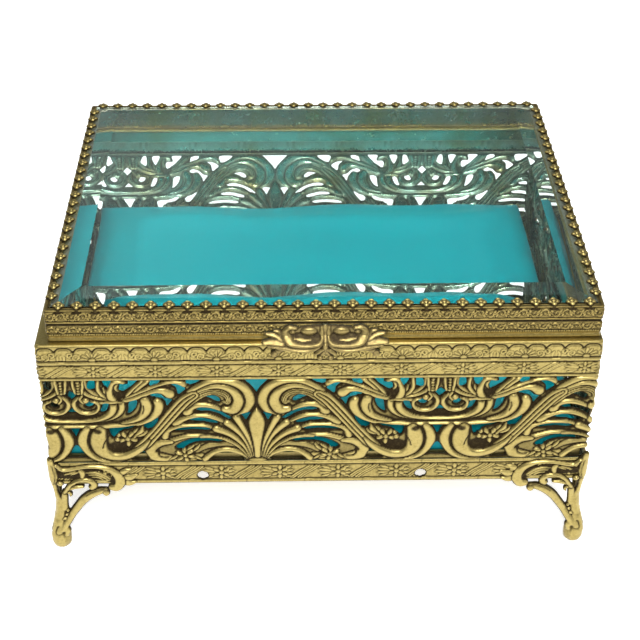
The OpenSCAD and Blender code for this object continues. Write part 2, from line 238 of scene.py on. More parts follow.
    def flower(self, x, z, r, petals=6, turn=0.0, low=0.4, rise=0.6, eye=0.24):
        """Petals round a centre."""
        for k in range(petals):
            a = turn + 2 * math.pi * k / petals
            c, s = math.cos(a), math.sin(a)
            rows = [(x + c * r * q, z + s * r * q, r * w)
                    for q, w in ((0.2, 0.1), (0.45, 0.2), (0.7, 0.26), (0.88, 0.2), (1.0, 0.06))]
            self.ribbon(rows, low=low, rise=rise, edge=0.3)
        self.dome(x, z, r * eye, low=low + 0.25, rise=rise * 0.9)

    def hole(self, points, curve=True):
        """A pierced opening."""
        for shift in self.shifts:
            p = np.asarray(points, float) + np.array([shift, 0])
            rows = smooth(p, closed=True, steps=4) if curve else p
            found = self.window(rows, 2.5)
            if not found:
                continue
            area, x, z = found
            loop = np.vstack([rows, rows[:1]])
            d, _, _ = self.nearest(np.column_stack([loop, np.zeros(len(loop))]), x, z)
            inside = np.zeros(d.shape, bool)
            for (ax, az), (bx, bz) in zip(loop, loop[1:]):
                if az != bz:
                    crosses = (az > z) != (bz > z)
                    inside ^= crosses & (x < (bx - ax) * (z - az) / (bz - az) + ax)
            self.cut[area] = np.maximum(self.cut[area], np.where(inside, d, -d))

    def finish(self, scale=1.0, hollow_shade=0.9):
        """Rounds the metal off at its cut edges and adds dark in hollows and along the cut edges: antiquing
        and painted shade.
        """
        near_edge = 1 - ramp(-self.cut, 0.0, 0.8)
        self.height = blur(self.height - 0.35 * near_edge, 1) * scale
        across = "wrap" if self.wrap == "repeat" else "reflect"
        fine = spread(self.height, 2, across) - self.height
        broad = spread(self.height, int(0.9 / self.step), across) - self.height
        self.tint = np.clip(0.9 * blur(self.tint, 1) + 1.2 * np.clip(fine, 0, 1) + hollow_shade * np.clip(broad, 0, 1)
                            + 0.3 * near_edge, 0, 1)
        # Crests are the raised places; the metal is painted lighter there, as rubbed wear and painted
        # highlight
        self.crest = np.clip(-1.6 * broad - 0.8 * fine, 0, 1)
        return self

    def at(self, along, z):
        """Height, tint, crest and cut at places along the strip."""
        if self.wrap == "repeat":
            u = np.mod(along, self.width)
        elif self.wrap == "mirror":
            u = np.mod(along, 2 * self.width)
            u = np.where(u > self.width, 2 * self.width - u, u)
        else:
            u = np.abs(along)
        i = np.clip(u / self.step, 0, len(self.x) - 1.001)
        j = np.clip((z - self.low) / self.step, 0, len(self.z) - 1.001)
        i0, j0 = i.astype(int), j.astype(int)
        fx, fz = i - i0, j - j0

        def read(grid):
            return ((grid[j0, i0] * (1 - fx) + grid[j0, i0 + 1] * fx) * (1 - fz)
                    + (grid[j0 + 1, i0] * (1 - fx) + grid[j0 + 1, i0 + 1] * fx) * fz)

        return read(self.height), read(self.tint), read(self.crest), read(self.cut)


# ---------- the openwork's ornament ----------

OPEN_LOW, OPEN_HIGH = 38.6, 74.0
HALF_REPEAT = 61.0


def openwork_relief():
    """Half a repeat of the openwork: from a fan's middle (0) to a swag's middle (61)."""
    r = Relief(HALF_REPEAT, 36, 77, level=0.45, tint=0.35, wrap="mirror")
    # Painted shade in the hollows behind the forms
    r.shade(45.5, 45, 6, 4, 0.95, 0.15)
    r.shade(57, 58.6, 8, 1.6, 1.0, 0.1)
    r.shade(44.5, 67.6, 2.6, 2.2, 1.0, 0.1)
    r.shade(31.5, 70.4, 5, 0.9, 0.9)
    r.shade(19, 65.2, 4.5, 1.3, 0.9, 0.1)
    r.shade(20, 51.0, 6, 0.8, 0.8)
    r.shade(53.5, 52.6, 3, 1.4, 0.7)
    fan(r)
    rib_flower(r)
    volute(r)
    tendrils(r)
    cups(r)
    scroll_and_stem(r)
    s_band(r)
    openwork_holes(r)
    return r.finish(scale=1.4, hollow_shade=1.9)


def fan(r):
    """Middle leaf, blades, and the ribs that end in balls."""
    r.ribbon([(3.7, 39.5), (5.5, 41.8), (8, 43.2), (11, 43.6), (14, 42.8), (16.5, 41), (18, 39.4)], 1.25,
             rise=0.6)
    r.ribbon([(6, 44.8), (9.5, 46), (13.5, 46), (17.5, 45), (20.5, 43)], (0.4, 0.9, 1.1, 1.1, 0.7), rise=0.3,
             tint=0.25)
    r.ribbon([(10.7, 60.2), (13, 61.9), (16, 63), (19, 63.2), (21.6, 62.2), (22.8, 60)],
             (0.35, 0.8, 1.1, 1.25, 1.4, 1.9))
    r.ribbon([(10.7, 55.8), (13, 57.2), (16, 58.5), (19, 58.9), (22, 58.2), (25, 57), (26.8, 55.4)],
             (0.4, 0.75, 0.95, 1.0, 1.05, 1.25, 1.8))
    r.ribbon([(14.5, 53.2), (17, 54.4), (21, 54.7), (25, 54.4), (28, 53.4), (30.2, 52.2), (30.9, 49.6)],
             (0.4, 0.7, 0.8, 0.8, 0.9, 1.35, 1.3))
    r.ribbon([(10, 48.2), (14, 49.5), (19, 50), (23, 50), (26.5, 49), (30, 47.6)],
             (0.5, 0.65, 0.85, 0.95, 1.0, 1.1))
    blades = (
        ([(2.8, 40.3), (4.5, 43), (7, 46), (10, 48), (14, 49.3), (19, 49.7)],
         (0.3, 0.45, 0.55, 0.6, 0.6, 0.5)),
        ([(2.3, 40.5), (4.2, 45), (7, 48.7), (10, 51.2), (13.6, 52.9)], (0.35, 0.65, 0.95, 1.2, 1.45)),
        ([(1.8, 40.8), (3, 45.5), (5, 50), (7.5, 53.2), (9.8, 55.5)], (0.35, 0.65, 0.95, 1.2, 1.4)),
        ([(1.2, 41), (2, 46), (3.5, 50.5), (5.5, 55), (6.8, 57.8)], (0.35, 0.6, 0.9, 1.15, 1.35)),
    )
    for points, half in blades:
        r.ribbon(points, half, rise=0.6, low=0.55)
    r.ribbon([(0, 39), (0, 45), (0, 50), (0, 55), (0, 58.5), (0, 61.9)], (0.9, 1.4, 2.2, 3.0, 2.3, 0.15),
             rise=0.8, low=0.55)
    r.dome(0, 38.2, 3.7, 2.4)


def rib_flower(r):
    """Lobe at the foot of the last rib, with the small thin-petalled flower."""
    r.ribbon([(29, 47.4), (33, 46.8), (36, 44.2), (35.6, 41.6), (32, 40.2), (28, 39.8)],
             (1.0, 1.6, 1.9, 2.2, 2.1, 1.2), rise=0.55)
    r.line([(33.3, 43.6), (33.4, 41.8), (32, 40.9), (30.2, 40.8)])
    r.ribbon([(19, 41.4), (21, 40.4), (24, 39.8), (28, 39.4)], (0.8, 1.6, 1.9, 1.3), rise=0.3)
    for points in (
        [(27, 41.4), (28.4, 40.4), (30, 39.4)],
        [(22, 41.2), (20.3, 40.2), (19, 39.2)],
        [(22, 43), (20.4, 44.6), (19.4, 46)],
        [(24, 43.4), (22.6, 44.8), (21.4, 45.6)],
    ):
        r.ribbon(points, (0.3, 0.6, 0.2), rise=0.45)
    r.flower(24.5, 41.6, 3.4, petals=6, turn=0.35)


def volute(r):
    """The volute beside the fan, wound out of the two upper bands."""
    r.ribbon([(6.3, 59.3), (3.7, 60.7), (2.1, 64.6), (3.2, 68.9), (6.2, 71.8), (10.5, 73.1), (15.5, 72.3),
              (20.3, 69.3), (24.6, 65)],
             (0.6, 1.4, 1.85, 1.75, 1.7, 1.6, 1.7, 1.7, 1.0), rise=0.7)
    r.ribbon([(10.2, 61.3), (7.6, 61.3), (5.9, 64.6), (7, 68), (9.8, 70.4), (13.6, 71), (17.4, 69.4),
              (21.5, 66.3), (25, 62)], (1.6, 2.2, 2.05, 1.75, 1.45, 1.3, 1.3, 1.3, 0.9), rise=0.75, low=0.4)
    r.ribbon([(10.9, 64.4), (9.4, 64.2), (9.2, 66), (10.4, 67.8), (13.2, 68.9), (16.8, 68.2), (20.2, 65.9),
              (23.6, 62.6)],
             (0.4, 0.8, 1.05, 1.15, 1.2, 1.25, 1.25, 1.2), ridges=TRIPLE, rise=0.6, low=0.4)
    r.line([(11.2, 63.0), (9.3, 62.8), (8, 64.4), (8.4, 66.6), (9.6, 68.5), (12.2, 69.9), (15.2, 70)])


def s_band(r):
    """The long S-shaped band from the volute down to the large C-scroll, and the flower in its bend."""
    r.ribbon([(43.6, 40.4), (46.5, 39.5), (51, 39.2), (54.8, 40.6), (57.6, 43.6), (58.7, 47.4), (58.2, 50.6),
              (56.8, 53.4)],
             (0.4, 0.6, 0.8, 1.15, 1.55, 1.85, 1.75, 1.3), rise=0.7)
    r.ribbon([(20.5, 67.6), (23.6, 65.2), (27.3, 60.6), (31, 55.6), (34.6, 50.8), (38, 46.6), (41.5, 43.4)],
             (1.6, 2.1, 2.15, 2.05, 2.0, 2.0, 1.6), ridges=TRIPLE, rise=0.7, low=0.5)
    r.ribbon([(36.2, 48.6), (38.6, 45.6), (41.6, 43.0), (45.4, 41.4), (49.4, 41.5), (52.4, 43.7), (53.4, 47),
              (53.1, 50.2), (52.4, 52.6)],
             (0.5, 1.3, 1.7, 1.7, 1.9, 2.6, 3.0, 2.9, 2.2), rise=0.8, low=0.5)
    r.line([(49.9, 50), (51.3, 47.8), (52, 45.6)], 0.12, 0.15)
    r.shade(53.3, 52.8, 1.9, 1.2, 0.75, 0.1)
    for points, half in (
        ([(38, 54.4), (38.6, 52.4), (39.8, 51), (41.4, 49.6)], (0.3, 0.95, 0.9, 0.4)),
        ([(36.6, 52.4), (38, 51), (40, 50.2)], (0.2, 0.6, 0.3)),
        ([(40, 53.2), (41, 52.2), (42, 51)], (0.3, 0.6, 0.4)),
    ):
        r.ribbon(points, half, rise=0.5, low=0.5)
    r.flower(43.4, 49.2, 3.3, petals=5, turn=0.9, low=0.5, eye=0.26)
    for x, z in ((46.6, 50.6), (47, 48.6)):
        r.dome(x, z, 0.9, low=0.4, rise=0.5)


def tendrils(r):
    """Two tendrils and the leaves between the volute and the swag's acanthus."""
    for points, half in (
        ([(34.8, 73.8), (38, 71.2), (40, 68.6), (42, 66.8), (45, 65.4)], (0.9, 0.95, 0.85, 0.75, 0.4)),
        ([(37.2, 73.5), (39.6, 71.2), (41.6, 68.7), (43, 66.6)], (0.5, 0.6, 0.6, 0.4)),
        ([(23.6, 71.9), (26, 72.9), (29, 72.7), (31.4, 72), (34, 71), (37, 69.5), (40, 67.8), (43.4, 66)],
         (1.25, 0.75, 0.65, 0.65, 0.7, 0.75, 0.75, 0.5)),
        ([(28.5, 67.9), (30.4, 69.1), (32.4, 69.3), (34.4, 68.7), (37.4, 67.6), (41, 66), (45, 65)],
         (1.95, 1.5, 1.1, 1.0, 1.0, 0.9, 0.5)),
    ):
        r.ribbon(points, half, rise=0.6, low=0.5)


def cups(r):
    """The double cup that hangs over the swag's middle."""
    r.ribbon([(32.6, 65), (32.2, 63), (33.1, 60.2), (35.6, 57.5), (39.2, 55.8), (44, 55.1), (51, 54.6),
              (61, 54.5)], (1.55, 1.75, 1.65, 1.3, 0.95, 0.85, 0.85, 0.85), rise=0.75, low=0.5)
    r.ribbon([(36.7, 65.4), (36.2, 63), (36.8, 60.6), (38.6, 58.3), (41.5, 56.9), (45, 56.1)],
             (1.7, 1.95, 1.85, 1.35, 0.9, 0.3), rise=0.75, low=0.5)
    r.line([(37.3, 63.6), (37.2, 62), (37.8, 60.2)], 0.1, 0.15)
    r.ribbon([(44.4, 64.3), (44.5, 62), (45.7, 60), (48.2, 58.3), (52, 57), (57, 56.3)],
             (1.1, 1.15, 1.05, 0.85, 0.5, 0.3), rise=0.7, low=0.5)
    r.ribbon([(47.3, 64.3), (47.4, 61.6), (49, 59.5), (51.8, 57.9), (55.5, 57.1), (61, 56.8)],
             (1.35, 1.4, 1.3, 0.9, 0.65, 0.6), rise=0.75, low=0.5)


def scroll_and_stem(r):
    """Acanthus over the cup, the small C-scroll and the beaded stem at the swag's middle."""
    for points, half in (
        ([(57.3, 72.2), (57, 69.6), (55, 67.7), (52, 66.4), (48.8, 66)], (0.4, 0.65, 0.65, 0.6, 0.4)),
        ([(55.8, 73.8), (55.4, 71), (53.6, 68.8), (51, 67.2)], (0.5, 0.6, 0.6, 0.3)),
        ([(51.5, 73.7), (51.9, 70.4), (50.6, 67.8), (48.8, 66.4)], (0.6, 0.75, 0.65, 0.4)),
        ([(50, 70.6), (49.6, 69), (48.8, 67.4)], (0.3, 0.5, 0.4)),
        ([(45.3, 72.6), (46, 70.7), (45.2, 69.2)], (0.6, 0.55, 0.35)),
        ([(43, 72.7), (45.4, 73.3), (47.2, 72.4), (48, 69.7), (48, 67.3), (47, 65.2)],
         (0.45, 0.8, 1.05, 1.1, 1.25, 1.3)),
        ([(44.6, 64.8), (48, 64.7), (53.4, 64.4)], (0.3, 0.6, 0.45)),
        ([(56.5, 73.8), (56.7, 71), (57.2, 68.4)], 0.5),
        ([(59.9, 73.8), (59.7, 71), (59.2, 68.4)], 0.5),
    ):
        r.ribbon(points, half, rise=0.55, low=0.5)
    for z in (72.9, 71.7, 70.6, 69.5, 68.5):
        r.dome(58.2, z, 0.62, 0.52, low=0.5, rise=0.5)
    r.ribbon([(54.6, 65.2), (52.4, 64.4), (52.0, 62.4), (53.4, 60.8), (56, 60.2), (58.6, 61), (60, 63),
              (59.9, 65.3), (58.3, 66.9)], (0.4, 0.55, 0.65, 0.75, 0.8, 0.85, 0.85, 0.75, 0.5), rise=0.65,
             low=0.5)
    r.dome(56.2, 65.2, 1.35)
    r.ribbon([(57, 64.4), (58, 66), (57.2, 67.4)], 0.45, rise=0.5, low=0.5)


def openwork_holes(r):
    """The pierced openings."""
    for outline in (
        [(5.4, 74.6), (3, 72), (1, 69.6), (0, 67.7), (-1, 69.6), (-3, 72), (-5.4, 74.6)],
        [(59.7, 52.0), (58.5, 54.0), (63.5, 54.0), (62.3, 52.0), (61, 49.2)],
        [(57.2, 40.6), (58.8, 42.8), (60, 45.1), (61, 46), (62, 45.1), (63.2, 42.8), (64.8, 40.6)],
        [(61, 69.2), (59.1, 67.4), (61, 65.3), (62.9, 67.4)],
        [(59, 59.9), (61, 61.9), (63, 59.9)],
    ):
        r.hole(outline, curve=False)
    for outline in (
        [(2.2, 59.4), (5.3, 59), (4.3, 57), (3.7, 55.9), (2.9, 57.6)],
        [(12.1, 64.1), (12.3, 65.6), (14.2, 66.7), (17, 66.1), (15.2, 65.2), (13.4, 64.1)],
        [(8.3, 56.5), (9, 57.7), (12, 59.9), (16, 61.4), (18.6, 61.5), (20.3, 60.7), (19, 60), (16, 59.9),
         (13, 58.9), (10.5, 57.1)],
        [(13.2, 54.6), (13.2, 55.7), (16, 56.7), (19, 57.3), (22, 57.1), (22.9, 56.2), (21, 55.7), (18, 55.5),
         (16, 54.9)],
        [(15.4, 52.2), (16.5, 53.1), (21, 53.6), (25.5, 53.3), (28.1, 52.2), (27, 51.6), (21, 52.1),
         (17, 51.7)],
        [(10.9, 47.6), (13, 48.5), (17, 48.9), (21, 48.5), (25, 47), (27.6, 44.9), (26.5, 43.6), (24.5, 44.7),
         (22.5, 45.9), (20, 46.8), (16, 46.9), (13, 46.7)],
        [(3.9, 39.2), (5.5, 41.1), (8.5, 42.2), (11, 42.5), (13.5, 41.9), (15, 40.6), (15.6, 39.2),
         (10, 38.9)],
        [(37.3, 39.5), (37.9, 42.3), (39, 42.7), (40.5, 41.7), (42.4, 39.5)],
        [(17.4, 74.3), (19.6, 71.9), (22.3, 71.2), (22.7, 74.3)],
        [(23.2, 69.6), (25.3, 71.3), (28.1, 71.5), (26.4, 69.9), (25.9, 67.2), (24.4, 68.1)],
        [(27.9, 65.1), (30, 65.9), (31.5, 67.4), (33.5, 68.1), (35.4, 67.2), (34.5, 66.3), (32, 66.1),
         (30.4, 64.4), (29.8, 62.2), (28.9, 63.5)],
        [(31.2, 74.3), (33.9, 74.1), (35.1, 71.3), (33, 71.8), (31.8, 72.4)],
        [(38.2, 74.4), (42.3, 74.4), (42, 71.9), (44.4, 71.7), (45.1, 70.3), (44.4, 68.4), (42, 69.9),
         (40.3, 71.4)],
        [(47.2, 74.2), (50.4, 74.2), (49.8, 71), (48.7, 70.3)],
        [(52.8, 74.2), (54.3, 74.2), (55.3, 71), (54.2, 69.9), (52.8, 70.1)],
        [(39.5, 64.9), (42, 64.4), (42.6, 61), (42.9, 59.3), (41.3, 60.2), (39.8, 62.5)],
        [(48.9, 64), (50.5, 63.9), (51.3, 62), (51.9, 60.1), (50.3, 60.3), (49.1, 62.3)],
        [(53.7, 64.2), (55.3, 64.6), (56.7, 63), (55.5, 62.2), (54.2, 62.8)],
        [(40.4, 54.9), (45, 53.9), (49.3, 53.4), (49.4, 51), (48.4, 49.1), (47, 50.7), (45, 52.2), (42, 53)],
        [(32.9, 57.5), (35, 56.2), (37.4, 55.1), (37.8, 53.5), (37, 52.6), (35.5, 52.9), (34, 54.6),
         (33, 56.2)],
    ):
        r.hole(outline)


# ---------- the bands' ornament ----------

UNIT = 20.0
SCALLOP = 6.1
# Where the first unit starts, from the front left corner
FIRST_UNIT = 98.0 - UNIT / 2


def straight(unit, z):
    """A level line through a whole unit and a little past both its ends."""
    return [(-1, z), (unit / 2, z), (unit + 1, z)]


def flower_band(r, low, high, mid=10.0):
    """Leaf, flower, leaf and a double rope on the slant, one unit long."""
    height = high - low
    centre = (low + high) / 2
    k = height / 4.7
    for start, half in ((4.2, 0.62), (6.6, 0.62)):
        rope = [(mid + start, low + 0.1), (mid + start + 2.2, centre - 0.6),
                (mid + start + 4.4, centre + 0.9), (mid + start + 6.6, high - 0.05)]
        r.ribbon(rope, half * k, ridges=PAIR, rise=0.35, low=0.25, edge=0.34)
    for turn, reach in ((-1, 6.7), (1, 4.7)):
        for dz, long in ((-1.7, 0.86), (1.7, 0.86), (-0.62, 1.0), (0.62, 1.0)):
            tip = reach * long
            r.ribbon([(mid + turn * 2.2, centre + dz * 0.35 * k),
                      (mid + turn * (tip - 1.5), centre + dz * 0.9 * k),
                      (mid + turn * tip, centre + dz * 1.15 * k)], (0.4 * k, 0.58 * k, 0.08), rise=0.32,
                     low=0.25, edge=0.32)
    r.flower(mid, centre, 2.5 * k, petals=6, turn=0.5, low=0.3, rise=0.36, eye=0.3)


def collar_relief():
    """Flower band under a plain rim, and a strip of small shells."""
    r = Relief(UNIT, 73, 89, level=0.3, tint=0.1)
    flower_band(r, 75.5, 79.7)
    mid = 10.0
    for k in range(7):
        a = math.radians(12 + 156 * k / 6)
        c, s = math.cos(a), math.sin(a)
        r.ribbon([(mid + 1.3 * c, 82.2 + 1.3 * s), (mid + 3.6 * c, 82.2 + 3.1 * s)], (0.14, 0.42),
                 rise=0.3, low=0.25, edge=0.3)
    r.dome(mid, 82.0, 1.2, 1.1, low=0.3, rise=0.25)
    for turn in (-1, 1):
        for x, z, size in ((4.9, 83.3, 1.25), (7.0, 84.2, 0.9)):
            cx = mid + turn * x
            curl = [(cx + turn * size * q * math.cos(a), z + size * q * math.sin(a))
                    for a, q in ((-1.6, 1), (-0.4, 1), (0.9, 1), (2.2, 0.9), (3.4, 0.6), (4.4, 0.35))]
            r.ribbon(curl, 0.3, rise=0.3, low=0.25, edge=0.3)
        r.ribbon([(mid + turn * 8.9, 82.4), (mid + turn * 9.0, 83.6), (mid + turn * 9.6, 84.6)],
                 (0.4, 0.42, 0.1), rise=0.28, low=0.25, edge=0.28)
    for z in (75.1, 80.0, 81.8):
        r.line(straight(UNIT, z), 0.18, 0.25)
    for z in (74.5, 80.9):
        r.ribbon(straight(UNIT, z), 0.42, rise=0.25, low=0.25, edge=0.1)
    return r.finish()


def scallop_relief():
    """One flat-topped arch of the collar's upper edge."""
    r = Relief(SCALLOP, 73, 89, level=0.0, tint=0.0)
    arch = [(0, 85.2), (0.7, 86.3), (1.6, 86.95), (SCALLOP / 2, 87.1), (SCALLOP - 1.6, 86.95),
            (SCALLOP - 0.7, 86.3), (SCALLOP, 85.2)]
    # Painted shadow: the dark line along the arch stands for the shadow under the scalloped edge
    r.line(arch, 0.26, 0.35)
    r.line([(1.4, 85.9), (2.2, 86.25), (SCALLOP - 2.2, 86.25), (SCALLOP - 1.4, 85.9)], 0.06, 0.06)
    return r.finish()


RAIL_LOW, RAIL_HIGH = 29.2, 38.6


def rail_relief():
    """The rail's flower band between two plain rims."""
    r = Relief(UNIT, 27, 41, level=0.28, tint=0.2)
    flower_band(r, 31.1, 36.6)
    for z in (30.8, 36.95):
        r.line(straight(UNIT, z), 0.14, 0.22)
    for z, half in ((30.0, 0.6), (37.8, 0.62)):
        r.ribbon(straight(UNIT, z), half, rise=0.3, low=0.2, edge=0.15)
    return r.finish()


SCROLL_UNIT = 7.0


def lid_relief():
    """Fine engraved scrolls of the lid's two bands, with a row of tiny beads."""
    r = Relief(SCROLL_UNIT, 87, 102, level=0.22, tint=0.45, step=0.1)
    for low, high, flip in ((91.3, 94.0, 1), (96.0, 99.5, -1)):
        centre, reach = (low + high) / 2, (high - low) / 2
        vine = [(x, centre + flip * reach * 0.6 * math.sin(2 * math.pi * x / SCROLL_UNIT))
                for x in np.linspace(-1, SCROLL_UNIT + 1, 12)]
        r.ribbon(vine, 0.26, rise=0.34, low=0.2, edge=0.3)
        for k, up in ((0.25, -flip), (0.75, flip)):
            cx = SCROLL_UNIT * k
            middle = centre - up * 0.1 * reach
            turns = ((-2.6, 1), (-1.4, 0.95), (-0.2, 0.9), (1.0, 0.75), (2.4, 0.5), (3.8, 0.25))
            curl = [(cx + 1.15 * q * math.cos(a), middle + up * reach * 0.8 * q * math.sin(a))
                    for a, q in turns]
            r.ribbon(curl, 0.24, rise=0.34, low=0.2, edge=0.3)
            r.dome(cx, centre + up * 0.1 * reach, 0.32, low=0.3, rise=0.3)
            for turn in (-1, 1):
                r.ribbon([(cx + turn * 1.3, centre + up * reach * 0.3),
                          (cx + turn * 1.8, centre + up * reach * 0.9)], (0.42, 0.1), rise=0.3, low=0.2,
                         edge=0.3)
                r.dome(cx + turn * 2.3, centre + up * reach * 0.75, 0.26, low=0.25, rise=0.25)
    count = 9
    for k in range(count):
        r.dome(SCROLL_UNIT * (k + 0.5) / count, 90.75, 0.33, low=0.2, rise=0.3)
    for z in (91.2, 95.85, 99.75):
        r.line(straight(SCROLL_UNIT, z), 0.1, 0.15)
    return r.finish()


# ---------- the feet's and the tab's ornament ----------

FOOT_REACH = 29.6


def foot_relief():
    """One wing of a corner bracket. 0 is the corner itself."""
    r = Relief(30.0, -1, 41.5, level=0.3, tint=0.25, wrap="fold", sheet=False)
    # Painted shade: a dark ground on the rail, where the foot's opening would show only shadow, with the
    # strands of a leaf
    r.ribbon([(2.2, 33.4), (6, 33.8), (10, 34.2), (14, 33.6), (17.8, 32.4), (20, 31.2)],
             (1.4, 2.2, 2.4, 2.9, 2.6, 1.8), rise=0.05, low=0.12, tint=1.0)
    for points in (
        [(4.4, 34.0), (6.2, 34.7), (8.2, 35.4)],
        [(6.4, 33.9), (8.0, 34.6), (9.4, 35.2)],
        [(11.6, 34.6), (14.5, 34.8), (17.6, 33.6), (19.6, 31.8)],
        [(12.4, 33.7), (15.0, 33.8), (17.3, 32.7), (18.8, 31.5)],
        [(13.4, 32.7), (15.4, 32.7), (17.2, 31.7)],
        [(14.6, 31.2), (17.0, 30.9), (19.4, 31.2)],
    ):
        r.ribbon(points, (0.15, 0.4, 0.3) if len(points) == 3 else (0.15, 0.4, 0.45, 0.3), rise=0.45, low=0.3,
                 edge=0.25)
    r.ribbon([(9.7, 36.2), (10.5, 34.4), (10.2, 32.4)], (0.7, 0.95, 0.6), rise=0.5, edge=0.3)
    # Lobed leaf on the rail, beyond the scroll
    for points, half in (
        ([(22.8, 33.6), (25.0, 35.2), (26.8, 36.0)], (1.4, 1.3, 0.5)),
        ([(23.4, 31.8), (26.2, 32.2), (28.6, 33.4)], (1.6, 1.7, 0.8)),
        ([(23.4, 30.2), (26.0, 29.8), (28.0, 30.2)], (1.5, 1.5, 0.8)),
    ):
        r.ribbon(points, half, rise=0.4, edge=0.3)
    # Band from the corner over the scroll, round to its curled end
    r.ribbon([(2.1, 38.3), (3.9, 36.4), (5.8, 36.3), (9.8, 37.1), (13.6, 37.5), (17.6, 37.0), (20.6, 35.3),
              (22.4, 32.8), (22.8, 30.2), (21.6, 28.0), (20.2, 27.8)],
             (0.7, 0.95, 0.95, 0.85, 0.95, 1.1, 1.45, 1.9, 2.1, 2.0, 1.6), rise=0.7, edge=0.3)
    r.line([(17.5, 35.4), (19.8, 34.0), (21.2, 31.6), (21.0, 29.6)], 0.14, 0.3)
    # Post on the corner, with a ball below it
    r.ribbon([(0, 39.6), (0, 36), (0, 32), (0, 29), (0, 26.5), (0, 24), (0, 20), (0, 15), (0, 11)],
             (1.7, 2.2, 2.1, 1.4, 0.9, 1.2, 2.4, 2.7, 3.0), rise=0.6, over=False)
    r.line([(0.9, 38.4), (1.3, 35), (1.2, 32), (0.5, 29.5)], 0.1, 0.15)
    r.dome(2.5, 29.9, 1.25, 1.2, low=0.45)
    # Leg and its leaf curl
    r.ribbon([(3.0, 25.8), (2.7, 23.6), (2.2, 21), (2.2, 18)], (0.8, 1.3, 1.4, 1.5), rise=0.6, over=False)
    r.ribbon([(2.9, 25.4), (4.4, 25.5), (5.2, 24.5), (4.8, 23.6)], (0.7, 0.75, 0.65, 0.4), rise=0.5, edge=0.2)
    # Small scroll that springs from the leg, with its leaf
    r.ribbon([(4.2, 26.7), (7.0, 27.9), (9.8, 28.2)], (0.8, 1.05, 0.75), rise=0.45, edge=0.3)
    r.ribbon([(3.3, 25.7), (6.0, 29.3), (8.9, 31.1), (11.3, 31.2), (13.3, 30.3), (13.9, 28.7), (13.0, 27.9)],
             (0.7, 0.85, 1.05, 1.2, 1.3, 1.35, 1.2), rise=0.7, edge=0.3)
    r.line([(8.0, 30.4), (10.4, 31.0), (12.2, 30.4), (12.9, 29.2)], 0.1, 0.2)
    # Strut, from the toe to the ball under the scroll
    r.ribbon([(2.6, 9.5), (3.7, 12.4), (5.0, 15.4), (6.8, 18.3), (9.2, 21.6), (12.2, 24.3), (15.2, 25.9),
              (17.8, 26.3)],
             (1.4, 1.5, 1.5, 1.55, 1.65, 1.7, 1.55, 1.2), rise=0.7, over=False)
    r.line([(10.6, 24.2), (13, 25.9), (16, 26.9), (18.4, 26.7)], 0.12, 0.2)
    r.dome(17.8, 25.3, 1.3, low=0.5)
    # Toe: a rounded bulb under a small curl
    r.ribbon([(3.0, 10.2), (4.1, 8.6), (4.0, 7.1)], (1.2, 1.1, 0.9), rise=0.6, over=False)
    r.ribbon([(0, 12), (0, 8.5), (0, 5), (0, 2.4), (0.3, 0.4)], (2.4, 2.9, 3.7, 3.6, 2.6), rise=0.8,
             over=False)
    r.line([(1.0, 11.0), (0.7, 8.6), (1.2, 7.6), (2.8, 7.6)], 0.14, 0.3)
    for x, z in ((3.4, 17.2), (3.0, 15.5), (2.6, 13.9)):
        r.dome(x, z, 0.68, low=0.75, rise=0.45)
    return r.finish()


TAB_LOW, TAB_HIGH, TAB_HALF = 82.4, 94.5, 20.0


def tab_relief():
    """The thumb piece: half of it, from its middle."""
    r = Relief(TAB_HALF + 1.5, 81, 96, level=0.3, tint=0.45, wrap="fold", sheet=False)
    # Ground that joins the forms
    r.ribbon([(0, 91), (6, 90.4), (12, 89.6), (16.5, 88.4)], (3.2, 3.4, 2.6, 1.2), rise=0.25, tint=0.35)
    # Leaf fingers and the nub at the end
    for points, half in (
        ([(13.6, 89.6), (16, 90.6), (18.9, 91.0)], (0.7, 0.85, 0.55)),
        ([(13.6, 88.6), (16.6, 89.0), (19.8, 89.0)], (0.7, 0.95, 0.6)),
        ([(13.4, 90.6), (15.0, 91.8), (16.4, 92.2)], (0.7, 0.8, 0.45)),
        ([(12.6, 86.8), (14.8, 86.4), (16.2, 85.2)], (0.7, 1.0, 1.0)),
    ):
        r.ribbon(points, half, rise=0.5, low=0.4)
    r.dome(16.4, 84.9, 1.15, 1.25, low=0.5, rise=0.6)
    # Long ridge along the lower edge
    r.ribbon([(1.2, 89.6), (2.6, 87.6), (5.4, 86.3), (9.6, 86.4), (13.5, 87.2), (18.3, 88.1)],
             (0.8, 1.0, 0.95, 0.8, 0.8, 0.45), rise=0.75, low=0.4)
    # Ring round the eye
    r.ribbon([(0.9, 93.4), (0.9, 91.6), (2.2, 89.2), (5.2, 88.1), (8.8, 88.2), (11.7, 89.6), (12.8, 91.6),
              (11.6, 93.2), (9.4, 93.2)],
             (0.8, 1.0, 1.05, 0.95, 1.0, 1.25, 1.35, 1.05, 0.7), rise=0.7, low=0.4)
    # The eye: a heavy lid over a crescent painted dark as the lid's shadow
    r.dome(5.9, 90.2, 4.4, 1.5, low=0.15, rise=0.15, tint=0.9)
    r.ribbon([(4.6, 89.7), (7.4, 89.6), (10, 90)], (0.15, 0.3, 0.15), rise=0.35, low=0.35)
    r.dome(5.2, 92.1, 2.6, 1.5, low=0.5, rise=0.85, tint=0.1)
    r.dome(10.4, 91.8, 0.95, 0.8, low=0.5, rise=0.5)
    # Valley in the middle, and the petals and balls below it
    r.ribbon([(0, 94.0), (0, 91.4), (0, 89.2)], (0.9, 0.35, 0.5), rise=0.3, low=0.4, tint=0.2)
    r.ribbon([(0, 88.4), (0, 86.2), (0, 84.8)], (0.7, 1.35, 0.6), rise=0.6, low=0.4)
    r.ribbon([(0.8, 86.6), (2.2, 85.6), (3.3, 84.9)], (0.5, 0.95, 0.5), rise=0.6, low=0.4)
    r.ribbon([(0.5, 85.4), (1.6, 83.6)], (0.5, 0.7), rise=0.4, low=0.4)
    r.dome(1.75, 83.3, 1.0, 0.95, low=0.5, rise=0.6)
    return r.finish()


# ---------- from relief to mesh ----------

